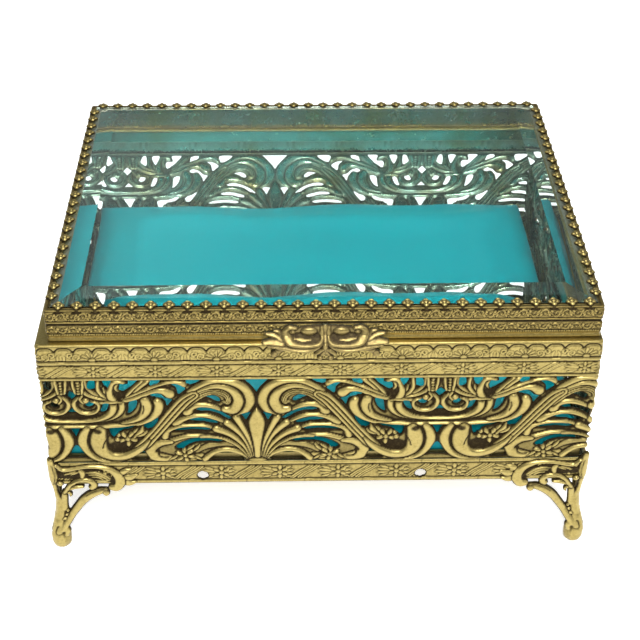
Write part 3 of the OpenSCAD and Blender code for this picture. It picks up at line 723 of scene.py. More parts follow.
class Wall:
    """One side of a rounded box. Places on it are (along, outward, height), and along runs with the
    other sides anticlockwise round the box."""

    def __init__(self, side, node, radius):
        low, high = span(node)
        self.centre = (low + high) / 2
        size = high - low
        turn = SIDES.index(side)
        self.half, self.away = (size[0] / 2, size[1] / 2) if turn % 2 == 0 else (size[1] / 2, size[0] / 2)
        self.radius = radius
        self.turn = turn
        self.reach = self.half - radius + radius * math.pi / 4
        walls = (size[0], size[1], size[0], size[1])
        self.start = sum(walls[:turn]) + self.half

    def strip(self, along):
        """How far a place is along the whole strip, from the front left corner."""
        return self.start + along * self.half / self.reach

    def place(self, along, out, z):
        """Points in the row frame. Deep inside the wall the corners are mitred."""
        straight = self.half - self.radius
        corner = np.maximum(self.radius, 0.12 - out)
        bend = np.maximum(np.abs(along) - straight, 0) / self.radius
        flat = np.minimum(np.abs(along), straight) * (self.half - corner) / straight
        side = np.sign(along) * (flat + (corner + out) * np.sin(bend))
        away = self.away - corner + (corner + out) * np.cos(bend)
        x, y = ((side, -away), (away, side), (-side, away), (-away, -side))[self.turn]
        return np.stack(np.broadcast_arrays(x + self.centre[0], y + self.centre[1], z), -1)


def add_piece(name, points, faces, body, material, nodes=(), marks=None):
    """A mesh in the row frame, from points in millimetres, that rides on a body."""
    mesh = bpy.data.meshes.new(name)
    mesh.from_pydata((np.asarray(points, float) * MM).tolist(), [], faces)
    mesh.polygons.foreach_set("use_smooth", [True] * len(mesh.polygons))
    for key, values in (marks or {}).items():
        mesh.attributes.new(key, "FLOAT", "POINT").data.foreach_set("value", np.asarray(values, np.float32))
    mesh.materials.append(material)
    obj = bpy.data.objects.new(name, mesh)
    bpy.context.scene.collection.objects.link(obj)
    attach(obj, body)
    if nodes:
        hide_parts(*nodes)
    return obj


def cells(number):
    """The four corners of each cell of a grid of numbered points."""
    return np.stack([number[:-1, :-1], number[:-1, 1:], number[1:, 1:], number[1:, :-1]], -1).reshape(-1, 4)


def plate(xs, zs, look, thickness):
    """A pierced sheet over a grid. look(x, z) gives height, tint, crest and cut; the sheet is kept
    where cut is below 0. Gives (x, out, z) rows, faces and marks; out is 0 at height 0."""
    gx, gz = np.meshgrid(xs, zs)
    height, tint, crest, cut = look(gx, gz)
    number = np.arange(gx.size).reshape(gx.shape)
    table = np.stack([gx, gz, height, tint, crest], -1).reshape(-1, 5)
    flat = cut.reshape(-1)
    kept = flat < 0
    corner = cells(number)
    count = kept[corner].sum(1)
    whole = corner[count == 4]
    extra, extra_rows, faces = {}, [], []

    def crossing(a, b):
        key = (min(a, b), max(a, b))
        if key not in extra:
            share = flat[key[0]] / (flat[key[0]] - flat[key[1]])
            share = min(max(share, 0.06), 0.94)
            extra[key] = len(table) + len(extra_rows)
            extra_rows.append(table[key[0]] * (1 - share) + table[key[1]] * share)
        return extra[key]

    for cell in corner[(count > 0) & (count < 4)]:
        loop = []
        for a, b in zip(cell, np.roll(cell, -1)):
            if kept[a]:
                loop.append(int(a))
            if kept[a] != kept[b]:
                loop.append(crossing(int(a), int(b)))
        faces.append(loop)
    table = np.vstack([table] + ([np.array(extra_rows)] if extra_rows else []))
    used = np.zeros(len(table), bool)
    used[whole.reshape(-1)] = True
    for loop in faces:
        used[loop] = True
    index = np.cumsum(used) - 1
    table = table[used]
    fronts = index[whole].tolist() + [index[loop].tolist() for loop in faces]
    edges = np.concatenate([np.stack([index[whole], np.roll(index[whole], -1, 1)], -1).reshape(-1, 2)]
                           + [np.stack([index[loop], np.roll(index[loop], -1)], -1) for loop in faces])
    total = len(table)
    code = edges[:, 0] * total + edges[:, 1]
    back = edges[:, 1] * total + edges[:, 0]
    open_edges = edges[~np.isin(code, back)]
    out = np.concatenate([table[:, 2], table[:, 2] - thickness])
    x = np.tile(table[:, 0], 2)
    z = np.tile(table[:, 1], 2)
    faces = fronts + [[v + total for v in loop[::-1]] for loop in fronts]
    faces += [[b, a, a + total, b + total] for a, b in open_edges.tolist()]
    marks = {"recess": np.concatenate([table[:, 3], np.clip(table[:, 3] * 0.6 + 0.15, 0, 1)]),
             "crest": np.concatenate([table[:, 4], table[:, 4] * 0]),
             "inner": np.concatenate([table[:, 4] * 0, table[:, 4] * 0 + 1])}
    return np.stack([x, out, z], -1), faces, marks


def sweep(xs, profile, look):
    """A closed profile carried along a wall. profile rows are (out, z, share of the relief, dark), and dark
    is painted shade added to the relief's.
    """
    p = np.array(profile)
    gx = np.repeat(xs[:, None], len(p), 1)
    gz = np.repeat(p[None, :, 1], len(xs), 0)
    height, tint, crest = look(gx, gz)
    out = p[None, :, 0] + height * p[None, :, 2]
    weight = np.broadcast_to(np.clip(np.abs(p[None, :, 2]), 0, 1), gx.shape)
    points = np.stack([gx, out, gz], -1).reshape(-1, 3)
    m = len(p)
    j = np.arange(m)
    k = np.arange(len(xs) - 1)[:, None] * m
    quads = np.stack([k + j, k + m + j, k + m + (j + 1) % m, k + (j + 1) % m], -1).reshape(-1, 4)
    faces = quads.tolist() + [list(range(m)), [(len(xs) - 1) * m + v for v in range(m)][::-1]]
    inner = (p[:, 0] < -1.05) & (p[:, 1] < p[:, 1].max() - 0.1)
    marks = {"recess": np.clip(tint * weight + p[None, :, 3], 0, 1).reshape(-1),
             "crest": (crest * weight).reshape(-1),
             "inner": np.tile(inner.astype(float), len(xs))}
    return points, faces, marks


def tube(rings, around):
    """Faces of a row of rings, shut at both ends."""
    faces = [[k * around + j, k * around + (j + 1) % around, (k + 1) * around + (j + 1) % around,
              (k + 1) * around + j] for k in range(rings - 1) for j in range(around)]
    return faces + [list(range(around))[::-1], [(rings - 1) * around + j for j in range(around)]]


def spaced(low, high, pitch):
    """Even steps from low to high, about a pitch apart."""
    return np.linspace(low, high, max(2, int(round((high - low) / pitch)) + 1))


# ---------- materials ----------

def material(name):
    mat = bpy.data.materials.new(name)
    mat.use_nodes = True
    tree = mat.node_tree
    tree.nodes.clear()
    return mat, tree


def feed(tree, socket, value):
    """Links a socket to another one, or sets it."""
    if isinstance(value, bpy.types.NodeSocket):
        tree.links.new(value, socket)
    elif value is not None:
        socket.default_value = value


def node(tree, kind, **inputs):
    """A node with some of its inputs set or linked. Names with _ stand for spaces."""
    made = tree.nodes.new(kind)
    for key, value in inputs.items():
        socket = made.inputs[int(key[1:])] if key[0] == "i" and key[1:].isdigit() else made.inputs[
            key.replace("_", " ")]
        feed(tree, socket, value)
    return made


def maths(tree, operation, a, b=None, clamp=False):
    made = tree.nodes.new("ShaderNodeMath")
    made.operation = operation
    made.use_clamp = clamp
    for socket, value in zip(made.inputs, (a, b)):
        feed(tree, socket, value)
    return made.outputs[0]


def mix_colour(tree, share, a, b):
    made = tree.nodes.new("ShaderNodeMix")
    made.data_type = "RGBA"
    for socket, value in ((made.inputs["Factor"], share), (made.inputs[6], a), (made.inputs[7], b)):
        feed(tree, socket, (*value, 1) if isinstance(value, tuple) else value)
    return made.outputs[2]


def noise(tree, where, scale, detail=3, rough=0.55):
    return node(tree, "ShaderNodeTexNoise", Vector=where, Scale=scale, Detail=detail,
                Roughness=rough).outputs["Fac"]


def mark(tree, key):
    """What the mesh says at each point: how deep it lies and so how much antiquing and painted shade it
    takes, how worn and highlighted, or that it faces in.
    """
    made = tree.nodes.new("ShaderNodeAttribute")
    made.attribute_name = key
    return made.outputs["Fac"]


def brass(name, light, deep, grime_and_shade, wear_and_highlight=0.5, rough=0.34, grime=0.12, inside=(0.42, 0.55, 0.45)):
    """Antiqued gilt brass. The meshes carry how deep each point lies, and the dark painted there is antiquing
    and painted shade.
    """
    mat, tree = material(name)
    where = node(tree, "ShaderNodeTexCoord").outputs["Object"]
    recess, crest, inner = (mark(tree, key) for key in ("recess", "crest", "inner"))
    cloud = noise(tree, where, 55, 4)
    speck = noise(tree, where, 1100, 3, 0.75)
    blotch = noise(tree, where, 210, 4, 0.65)
    # Tarnish varies slowly over the metal, and the crests are painted bright: rubbed wear and painted
    # highlight
    tone = maths(tree, "ADD", maths(tree, "MULTIPLY", cloud, 0.7), maths(tree, "MULTIPLY", blotch, 0.5))
    tone = maths(tree, "ADD", tone, maths(tree, "MULTIPLY", maths(tree, "SUBTRACT", speck, 0.5), 0.9))
    tone = maths(tree, "SUBTRACT", tone, maths(tree, "MULTIPLY", crest, wear_and_highlight))
    tone = maths(tree, "MULTIPLY", maths(tree, "SUBTRACT", tone, 0.35), 1.3, clamp=True)
    metal = mix_colour(tree, tone, light, deep)
    # Inside the box the gilt takes on, in patches, the inside colour: a painted reflection, on the walls the
    # satin's teal
    thin = maths(tree, "MULTIPLY", maths(tree, "SUBTRACT", cloud, 0.28), 3.4, clamp=True)
    pale = maths(tree, "MULTIPLY", inner, thin)
    metal = mix_colour(tree, pale, metal, inside)
    # Real grime in speckle and spots, with antiquing and painted shade in the hollows, mix in the dark colour
    grime_and_shade_mask = maths(tree, "MULTIPLY", maths(tree, "SUBTRACT", recess, 0.2), 1.45, clamp=True)
    grime_and_shade_mask = maths(tree, "ADD", grime_and_shade_mask, maths(tree, "MULTIPLY", maths(tree, "SUBTRACT", speck, 0.5), 0.45))
    spots = maths(tree, "MULTIPLY", maths(tree, "SUBTRACT", blotch, 0.62), 4.0 * grime, clamp=True)
    grime_and_shade_mask = maths(tree, "ADD", grime_and_shade_mask, spots, clamp=True)
    colour = mix_colour(tree, grime_and_shade_mask, metal, grime_and_shade)
    gloss = maths(tree, "ADD", maths(tree, "MULTIPLY", grime_and_shade_mask, 0.3), maths(tree, "MULTIPLY", blotch, 0.16))
    gloss = maths(tree, "ADD", gloss, rough - 0.08)
    gloss = maths(tree, "SUBTRACT", gloss, maths(tree, "MULTIPLY", inner, 0.1), clamp=True)
    metallic = maths(tree, "SUBTRACT", 0.96, maths(tree, "MULTIPLY", grime_and_shade_mask, 0.55), clamp=True)
    bump = node(tree, "ShaderNodeBump", Strength=0.35, Distance=0.00012,
                Height=maths(tree, "ADD", speck, maths(tree, "MULTIPLY", blotch, 0.8)))
    shader = node(tree, "ShaderNodeBsdfPrincipled", Base_Color=colour, Metallic=metallic, Roughness=gloss,
                  Normal=bump.outputs[0])
    shader.inputs["Specular IOR Level"].default_value = 0.1
    node(tree, "ShaderNodeOutputMaterial", Surface=shader.outputs[0])
    return mat


# Each gilt: a light and a deep metal colour, a dark colour for grime, antiquing and painted shade, and an
# inside colour that is a painted reflection
GILT = brass("gilt_filigree", (0.36, 0.285, 0.10), (0.18, 0.135, 0.037), (0.018, 0.011, 0.003))
AGED = brass("aged_gilt", (0.315, 0.24, 0.08), (0.13, 0.093, 0.022), (0.016, 0.011, 0.004), wear_and_highlight=0.35,
             rough=0.34, grime=0.5, inside=(0.29, 0.255, 0.20))
RUBBED = brass("rubbed_gilt", (0.24, 0.184, 0.068), (0.115, 0.084, 0.040), (0.018, 0.011, 0.006), wear_and_highlight=0.3,
               rough=0.38, grime=0.4)
PLAIN = brass("plain_brass", (0.34, 0.27, 0.11), (0.2, 0.15, 0.05), (0.03, 0.02, 0.01), wear_and_highlight=0.2, rough=0.42,
              grime=0.3)


def glass_material():
    """Clear glass that lets the lamps through, faintly green, with polishing haze."""
    mat, tree = material("bevelled_glass")
    where = node(tree, "ShaderNodeTexCoord").outputs["Object"]
    haze = noise(tree, where, 40, 4)
    gloss = maths(tree, "MULTIPLY", maths(tree, "SUBTRACT", haze, 0.55), 0.06, clamp=True)
    glass = node(tree, "ShaderNodeBsdfGlass", Color=(0.93, 0.985, 0.97, 1), Roughness=gloss, IOR=1.5)
    clear = node(tree, "ShaderNodeBsdfTransparent", Color=(0.93, 0.98, 0.97, 1))
    path = tree.nodes.new("ShaderNodeLightPath")
    both = node(tree, "ShaderNodeMixShader", i0=path.outputs["Is Shadow Ray"], i1=glass.outputs[0],
                i2=clear.outputs[0])
    node(tree, "ShaderNodeOutputMaterial", Surface=both.outputs[0])
    return mat


def satin_material():
    """Turquoise satin: a fine twill, a soft sheen and slow changes of colour."""
    mat, tree = material("satin")
    where = node(tree, "ShaderNodeTexCoord").outputs["Object"]
    slow = noise(tree, where, 22, 3)
    colour = mix_colour(tree, slow, (0.0, 0.139, 0.167), (0.0, 0.179, 0.201))
    twist = node(tree, "ShaderNodeMapping", Vector=where, Rotation=(0, 0, 0.6))
    weave = node(tree, "ShaderNodeTexWave", Vector=twist.outputs[0], Scale=900, Distortion=1.5, Detail=2,
                 Detail_Scale=3)
    thread = node(tree, "ShaderNodeTexWave", Vector=where, Scale=1500, Distortion=0.8, Detail=1)
    thread.bands_direction = "Y"
    height = maths(tree, "ADD", weave.outputs["Fac"], maths(tree, "MULTIPLY", thread.outputs["Fac"], 0.5))
    bump = node(tree, "ShaderNodeBump", Strength=0.25, Distance=0.00008, Height=height)
    gloss = maths(tree, "ADD", 0.42, maths(tree, "MULTIPLY", slow, 0.16))
    shader = node(tree, "ShaderNodeBsdfPrincipled", Base_Color=colour, Roughness=gloss,
                  Normal=bump.outputs[0])
    shader.inputs["Specular IOR Level"].default_value = 0.15
    shader.inputs["Sheen Weight"].default_value = 0.05
    shader.inputs["Sheen Roughness"].default_value = 0.35
    shader.inputs["Sheen Tint"].default_value = (0.5, 0.95, 0.95, 1)
    node(tree, "ShaderNodeOutputMaterial", Surface=shader.outputs[0])
    return mat


def card_material():
    """Grey-brown card with fibres."""
    mat, tree = material("card")
    where = node(tree, "ShaderNodeTexCoord").outputs["Object"]
    fibre = noise(tree, where, 1200, 5, 0.7)
    colour = mix_colour(tree, fibre, (0.30, 0.22, 0.14), (0.48, 0.38, 0.26))
    bump = node(tree, "ShaderNodeBump", Strength=0.3, Distance=0.0001, Height=fibre)
    shader = node(tree, "ShaderNodeBsdfPrincipled", Base_Color=colour, Normal=bump.outputs[0])
    shader.inputs["Roughness"].default_value = 0.9
    node(tree, "ShaderNodeOutputMaterial", Surface=shader.outputs[0])
    return mat


GLASS = glass_material()
SATIN = satin_material()
CARD = card_material()


def coat(name, mat):
    """Gives a CAD node its material."""
    obj = NODES[name]
    obj.data.materials.clear()
    obj.data.materials.append(mat)


# ---------- walls of the casket ----------

BODY_RADIUS = 1.6
PLATE_PITCH = 0.36
OPEN_DEPTH = 1.35


def build_openwork():
    """The four pierced walls, set back behind the bands."""
    relief = openwork_relief()
    first_fan = 70.5
    sheet = 0.5
    for side in SIDES:
        wall = Wall(side, "body_collar", BODY_RADIUS)

        def look(x, z):
            height, tint, crest, cut = relief.at(wall.strip(x) - first_fan, z)
            inside = ramp(z, OPEN_LOW - 0.4, OPEN_LOW + 0.5) * (1 - ramp(z, OPEN_HIGH - 0.5, OPEN_HIGH + 0.3))
            # Painted shade: the sheet is fully dark where it runs on behind the rail and the collar; all of
            # it is a little darker too
            return height * inside, np.clip(np.maximum(tint, 1 - inside) + 0.19, 0, 1), crest * inside, cut

        xs = spaced(-wall.reach, wall.reach, PLATE_PITCH)
        zs = spaced(37.3, 75.6, PLATE_PITCH)
        points, faces, marks = plate(xs, zs, look, sheet)
        placed = wall.place(points[:, 0], points[:, 1] - OPEN_DEPTH, points[:, 2])
        add_piece("openwork_" + side, placed, faces, "casket", GILT, [side + "_panel"],
                  marks)


def build_rails():
    """The lower bands, each with its flange under the tray."""
    relief = rail_relief()
    hole_r, hole_z = 1.9, 32.5
    holes = (-39.75, 34.75)
    sheet, sunk = 0.7, 0.6
    for side in SIDES:
        wall = Wall(side, "body_collar", BODY_RADIUS)

        def look(x, z):
            height, tint, crest, cut = relief.at(wall.strip(x) - FIRST_UNIT, z)
            if side == "front":
                for hole in holes:
                    gap = np.hypot(x - hole, z - hole_z)
                    cut = np.maximum(cut, hole_r - gap)
                    tint = np.maximum(tint, 1 - ramp(gap, hole_r, hole_r + 0.5))
            return height, np.clip(tint + 0.09, 0, 1), crest, cut

        xs = spaced(-wall.reach, wall.reach, PLATE_PITCH)
        zs = spaced(RAIL_LOW, RAIL_HIGH, 0.32)
        points, faces, marks = plate(xs, zs, look, sheet)
        placed = wall.place(points[:, 0], points[:, 1] - sunk, points[:, 2])
        # The flange under the tray
        count = len(placed)
        fx = spaced(-wall.reach, wall.reach, 2.0)
        ring = [(-1.2, 36.9), (-3.4, 36.95), (-6.1, 36.9), (-6.2, 36.5), (-6.1, 36.1), (-3.4, 36.05),
                (-1.2, 36.1)]
        rows = np.array([(x, out, z) for x in fx for out, z in ring])
        placed = np.vstack([placed, wall.place(*rows.T)])
        faces += [[v + count for v in loop] for loop in tube(len(fx), len(ring))]
        marks = {key: np.concatenate([values, np.full(len(rows), 0.3 if key == "recess" else 0.0)])
                 for key, values in marks.items()}
        add_piece("rail_" + side, placed, faces, "casket", GILT, [side + "_rail"], marks)


def build_collar():
    """The upper band and the ledge that the lid lies on."""
    relief = collar_relief()
    scallops = scallop_relief()
    first_arch = -0.1
    # The last number of each row is painted shade: darker at the lip, towards the ledge's inner edge, under
    # the ledge and at the foot of the band
    profile = [(-0.42, z, 1.0, 0.0) for z in spaced(74.05, 87.25, 0.33)]
    profile += [(-0.15, 87.4, 0, 0.25), (-0.3, 87.6, 0, 0.4), (-0.35, 87.85, 0, 0.35), (-0.6, 88.0, 0, 0.2)]
    profile += [(out, 88.0, 0, 0.2) for out in (-1.6, -2.8)] + [(-4.0, 88.0, 0, 0.35), (-5.0, 88.0, 0, 0.5)]
    profile += [(-5.5, 87.9, 0, 0.6), (-5.5, 87.2, 0, 0.6), (-5.0, 87.05, 0, 0.5), (-3.0, 87.05, 0, 0.5),
                (-1.3, 87.05, 0, 0.6)]
    profile += [(-1.2, z, 0, 0.12) for z in (86.6, 85.0, 83.0, 81.0)]
    profile += [(-1.15, z, 0.6, 0.05) for z in spaced(80.2, 74.3, 0.37)]
    profile += [(-0.8, 74.0, 0, 0.4)]
    for side in SIDES:
        wall = Wall(side, "body_collar", BODY_RADIUS)

        def look(x, z):
            along = wall.strip(x)
            height, tint, crest, _ = relief.at(along - FIRST_UNIT, z)
            dip, line, _, _ = scallops.at(along - first_arch, z)
            return height + dip, np.maximum(tint, line), crest

        xs = spaced(-wall.reach, wall.reach, 0.34)
        points, faces, marks = sweep(xs, profile, look)
        placed = wall.place(*points.T)
        add_piece("collar_" + side, placed, faces, "casket", GILT, ["body_collar"], marks)


def toe_bulb():
    """The egg-shaped end of a leg, flat underneath, in millimetres from the outer corner."""
    rings, sectors = 12, 20
    centre, radius, tall = -1.15, 3.15, 4.9
    points = []
    for k in range(rings + 1):
        a = math.radians(-68 + 146 * k / rings)
        for s in range(sectors):
            turn = 2 * math.pi * s / sectors
            r = radius * math.cos(a) * (1 - 0.10 * math.sin(a)) * (1 + 0.04 * math.cos(3 * turn + 4 * a))
            points.append((centre + r * math.cos(turn), centre + r * math.sin(turn),
                           max(0.0, tall * (math.sin(a) + math.sin(math.radians(68))))))
    return np.array(points), tube(rings + 1, sectors)


def build_feet():
    """The four corner brackets, each bent round its corner, with a toe."""
    relief = foot_relief()
    low, high = span("body_collar")
    # How far the corner leans out, by height: over the rail, in along the leg, out round the toe
    bulge_z = (0, 0.7, 1.8, 3.5, 6.5, 9, 12, 16, 21, 27, 31, 41)
    bulge = (-0.8, 0.4, 1.1, 1.5, 1.6, 1.3, 0.5, -0.4, -0.8, -0.3, 0.2, 0.4)
    radius = 2.0
    quarter = radius * math.pi / 4

    def foot_look(x, z):
        """The relief's dark fades down the leg, and the stamping stops where the toe begins."""
        height, tint, crest, cut = relief.at(x, z)
        return height, tint * (0.3 + 0.7 * ramp(z, 2.5, 11.0)), crest, np.maximum(cut, 1.6 - z)

    for end in ("front", "back"):
        for hand in ("left", "right"):
            sx = -1 if hand == "left" else 1
            sy = -1 if end == "front" else 1
            corner = (sx * (high[0] - low[0]) / 2, sy * (high[1] - low[1]) / 2)
            xs = spaced(-FOOT_REACH, FOOT_REACH, 0.32)
            zs = spaced(0.0, 40.8, 0.32)
            points, faces, marks = plate(xs, zs, foot_look, 0.9)
            t, out, z = points[:, 0], points[:, 1] - 0.1, points[:, 2]
            bend = np.clip(t / radius, -math.pi / 4, math.pi / 4) + math.pi / 4
            run = np.maximum(np.abs(t) - quarter, 0)
            px = -radius + (radius + out) * np.sin(bend) - np.where(t < 0, run, 0)
            py = -radius + (radius + out) * np.cos(bend) - np.where(t > 0, run, 0)
            swell = np.interp(z, bulge_z, bulge) * np.exp(-(t / 9.0) ** 2)
            placed = np.stack([px + swell, py + swell, z], -1)
            bulb, bulb_faces = toe_bulb()
            faces = faces + [[v + len(placed) for v in loop] for loop in bulb_faces]
            placed = np.vstack([placed, bulb])
            marks = {"recess": np.concatenate([marks["recess"], np.full(len(bulb), 0.3)]),
                     "crest": np.concatenate([marks["crest"], np.zeros(len(bulb))])}
            placed[:, :2] = np.array(corner) + placed[:, :2] * (sx, sy)
            if sx * sy > 0:
                faces = [loop[::-1] for loop in faces]
            add_piece("bracket_" + end + "_" + hand, placed, faces, "casket", GILT,
                      ["foot_" + end + "_" + hand], marks)


# ---------- lid ----------

LID_RADIUS = 1.0


def build_lid_frame():
    """The lid's moulded frame, with the seat of the glass."""
    relief = lid_relief()
    band = -0.36
    # The last number of each row is painted shade: darkest in the groove between the two bands, and darker at
    # the lower mouldings, the top lip, the seat of the glass and the inner face
    profile = [(-0.8, 88.02, 0, 0.5), (-0.45, 88.15, 0, 0.3), (-0.1, 88.5, 0, 0.0), (-0.1, 88.9, 0, 0.0),
               (-0.4, 89.3, 0, 0.35), (-0.5, 89.8, 0, 0.3), (-0.2, 90.2, 0, 0.15)]
    profile += [(band, z, 1.0, 0.0) for z in spaced(90.4, 93.9, 0.25)]
    profile += [(-0.25, 94.1, 0, 0.6), (-0.75, 94.25, 0, 1.0), (-0.8, 94.6, 0, 1.0), (-0.75, 94.95, 0, 1.0),
                (-0.2, 95.15, 0, 0.5), (-0.05, 95.4, 0, 0.1), (-0.1, 95.6, 0, 0.2)]
    profile += [(band, z, 1.0, 0.0) for z in spaced(95.8, 99.7, 0.25)]
    profile += [(-0.05, 99.95, 0, 0.4), (-0.25, 100.15, 0, 0.55), (-0.7, 100.2, 0, 0.65),
                (-1.2, 100.15, 0, 0.75), (-1.4, 99.9, 0, 0.8), (-1.4, 98.1, 0, 0.9), (-2.6, 98.1, 0, 0.5),
                (-4.3, 98.1, 0, 0.35), (-4.4, 98.0, 0, 0.3), (-4.4, 97.3, 0, 0.3), (-4.3, 97.2, 0, 0.3),
                (-2.6, 97.2, 0, 0.35), (-1.5, 97.2, 0, 0.5)]
    profile += [(-1.4, z, 0, 0.3) for z in (96.8, 94.0, 91.0, 88.4)] + [(-1.3, 88.02, 0, 0.4)]
    for side in SIDES:
        wall = Wall(side, "lid_frame", LID_RADIUS)

        def look(x, z):
            height, tint, crest, _ = relief.at(wall.strip(x), z)
            return height, tint, crest

        xs = spaced(-wall.reach, wall.reach, 0.33)
        points, faces, marks = sweep(xs, profile, look)
        placed = wall.place(*points.T)
        add_piece("moulding_" + side, placed, faces, "lid", AGED, ["lid_frame"], marks)


def rosette():
    """One lobed head lying flat: points (across, inward, up), faces and how deep each point lies, as dark:
    its ring groove, with painted shade between the lobes, at the rim and underneath.
    """
    rings, sectors = 8, 32
    points, recess, faces = [], [], []
    for k in range(rings + 1):
        q = k / rings
        for s in range(sectors):
            a = 2 * math.pi * s / sectors
            lobed = abs(math.cos(2 * a))
            rim = 1.68 + 0.36 * lobed ** 1.3
            lobe = 0.42 * math.exp(-((q - 0.66) / 0.22) ** 2) * (0.35 + 0.65 * lobed)
            eye = 0.5 * math.exp(-(q / 0.27) ** 2)
            points.append((rim * q * math.cos(a), rim * q * math.sin(a), 0.35 + lobe + eye - 0.35 * q ** 4))
            groove_and_shade = 0.9 * math.exp(-((q - 0.38) / 0.1) ** 2) + (1 - lobed) * q * q + 0.9 * q ** 6
            recess.append(min(1, groove_and_shade))
    for k in range(rings):
        for s in range(sectors):
            a, b = k * sectors + s, k * sectors + (s + 1) % sectors
            faces.append([a, a + sectors, b + sectors, b])
    back = len(points)
    for s in range(sectors):
        a = 2 * math.pi * s / sectors
        rim = 1.5 + 0.32 * abs(math.cos(2 * a)) ** 1.3
        points.append((rim * math.cos(a), rim * math.sin(a), -0.35))
        recess.append(0.8)
    for s in range(sectors):
        a, b = rings * sectors + s, rings * sectors + (s + 1) % sectors
        faces.append([a, back + s, back + (s + 1) % sectors, b])
    faces.append([back + s for s in range(sectors)][::-1])
    return np.array(points), faces, np.array(recess)


def build_gallery():
    """A strip of rosettes on bent necks along each edge of the glass."""
    head, head_faces, head_recess = rosette()
    pitch = 5.81
    head_out, head_z, lean = -1.95, 100.9, 6
    counts = {"front": 30, "back": 30, "right": 23, "left": 23}
    for side in SIDES:
        wall = Wall(side, "lid_frame", LID_RADIUS)
        count = counts[side]
        points, faces, recess = [], [], []

        def put(rows, loops, dark):
            start = sum(len(p) for p in points)
            points.append(np.asarray(rows, float))
            faces.extend([[v + start for v in loop] for loop in loops])
            recess.append(np.asarray(dark, float))

        # Strip between the frame and the glass, painted dark as shade under the heads
        reach = wall.half - (1.5 if wall.turn % 2 == 0 else 2.2)
        xs = spaced(-reach, reach, 2.0)
        ring = [(-1.46, 98.25), (-1.42, 99.3), (-1.46, 100.0), (-1.65, 100.25), (-1.85, 100.1), (-1.88, 99.4),
                (-1.86, 98.25)]
        m = len(ring)
        rows = [(x, out, z) for x in xs for out, z in ring]
        loops = [[k * m + j, (k + 1) * m + j, (k + 1) * m + (j + 1) % m, k * m + (j + 1) % m]
                 for k in range(len(xs) - 1) for j in range(m)]
        loops += [list(range(m))[::-1], [(len(xs) - 1) * m + j for j in range(m)]]
        put(rows, loops, np.full(len(rows), 0.7))
        rng = np.random.default_rng(7 + SIDES.index(side))
        for i in range(count):
            x = (i - (count - 1) / 2) * pitch
            tilt = math.radians(lean + rng.normal(0, 1.5))
            spin = rng.normal(0, 0.08)
            c, s = math.cos(tilt), math.sin(tilt)
            across = head[:, 0] * math.cos(spin) - head[:, 1] * math.sin(spin)
            inward = head[:, 0] * math.sin(spin) + head[:, 1] * math.cos(spin)
            out = head_out - inward * c + head[:, 2] * s
            z = head_z + inward * s + head[:, 2] * c
            put(np.stack([x + across, out, z], -1), head_faces, head_recess)
            # Neck: a triangle on the strip that bends in under the head, painted dark as the shade under it
            steps = 7
            rows, dark = [], []
            for k in range(steps + 1):
                q = k / steps
                half = 1.7 * (1 - q) ** 2.2 + 0.42
                mid_out = -0.15 - 1.6 * ramp(q, 0.3, 1.0)
                height = 99.0 + 1.7 * min(1, q * 1.4)
                for dx, lift in ((-half, 0.0), (-half * 0.4, 0.28), (half * 0.4, 0.28), (half, 0.0),
                                 (half * 0.4, -0.2), (-half * 0.4, -0.2)):
                    rows.append((x + dx, mid_out + lift, height))
                    dark.append(1.0 - 0.35 * q)
            put(rows, tube(steps + 1, 6), dark)
        rows = np.vstack(points)
        dark = np.concatenate(recess)
        away = wall.away + rows[:, 1]
        x, y = ((rows[:, 0], -away), (away, rows[:, 0]), (-rows[:, 0], away), (-away, -rows[:, 0]))[wall.turn]
        placed = np.stack([x + wall.centre[0], y + wall.centre[1], rows[:, 2]], -1)
        # Painted highlight: the less dark a point is painted, the lighter it is made as a crest
        marks = {"recess": dark, "crest": np.clip(0.9 - dark, 0, 1)}
        add_piece("rosettes_" + side, placed, faces, "lid", GILT, ["gallery_" + side], marks)


def build_tab():
    """The thumb piece on the lid's front."""
    relief = tab_relief()
    lid_low, lid_high = span("lid_frame")
    body_low, _ = span("body_collar")
    lid_face = lid_low[1]
    hang = body_low[1] - 0.75
    xs = spaced(-TAB_HALF - 0.5, TAB_HALF + 0.5, 0.26)
    zs = spaced(TAB_LOW, TAB_HIGH, 0.26)

    def look(x, z):
        height, tint, crest, cut = relief.at(x, z)
        return height, 0.8 * tint, crest, cut

    points, faces, marks = plate(xs, zs, look, 0.7)
    t, out, z = points.T
    # The upper part lies on the lid, and the lower part steps forward over the collar
    forward = ramp(-z, -91.2, -88.4)
    y = (lid_face - 0.35) * (1 - forward) + hang * forward - out * 0.9
    placed = np.stack([t + (lid_low[0] + lid_high[0]) / 2, y, z], -1)
    add_piece("thumb_piece", placed, faces, "lid", RUBBED, ["lift_tab"], marks)


# ---------- cushion ----------

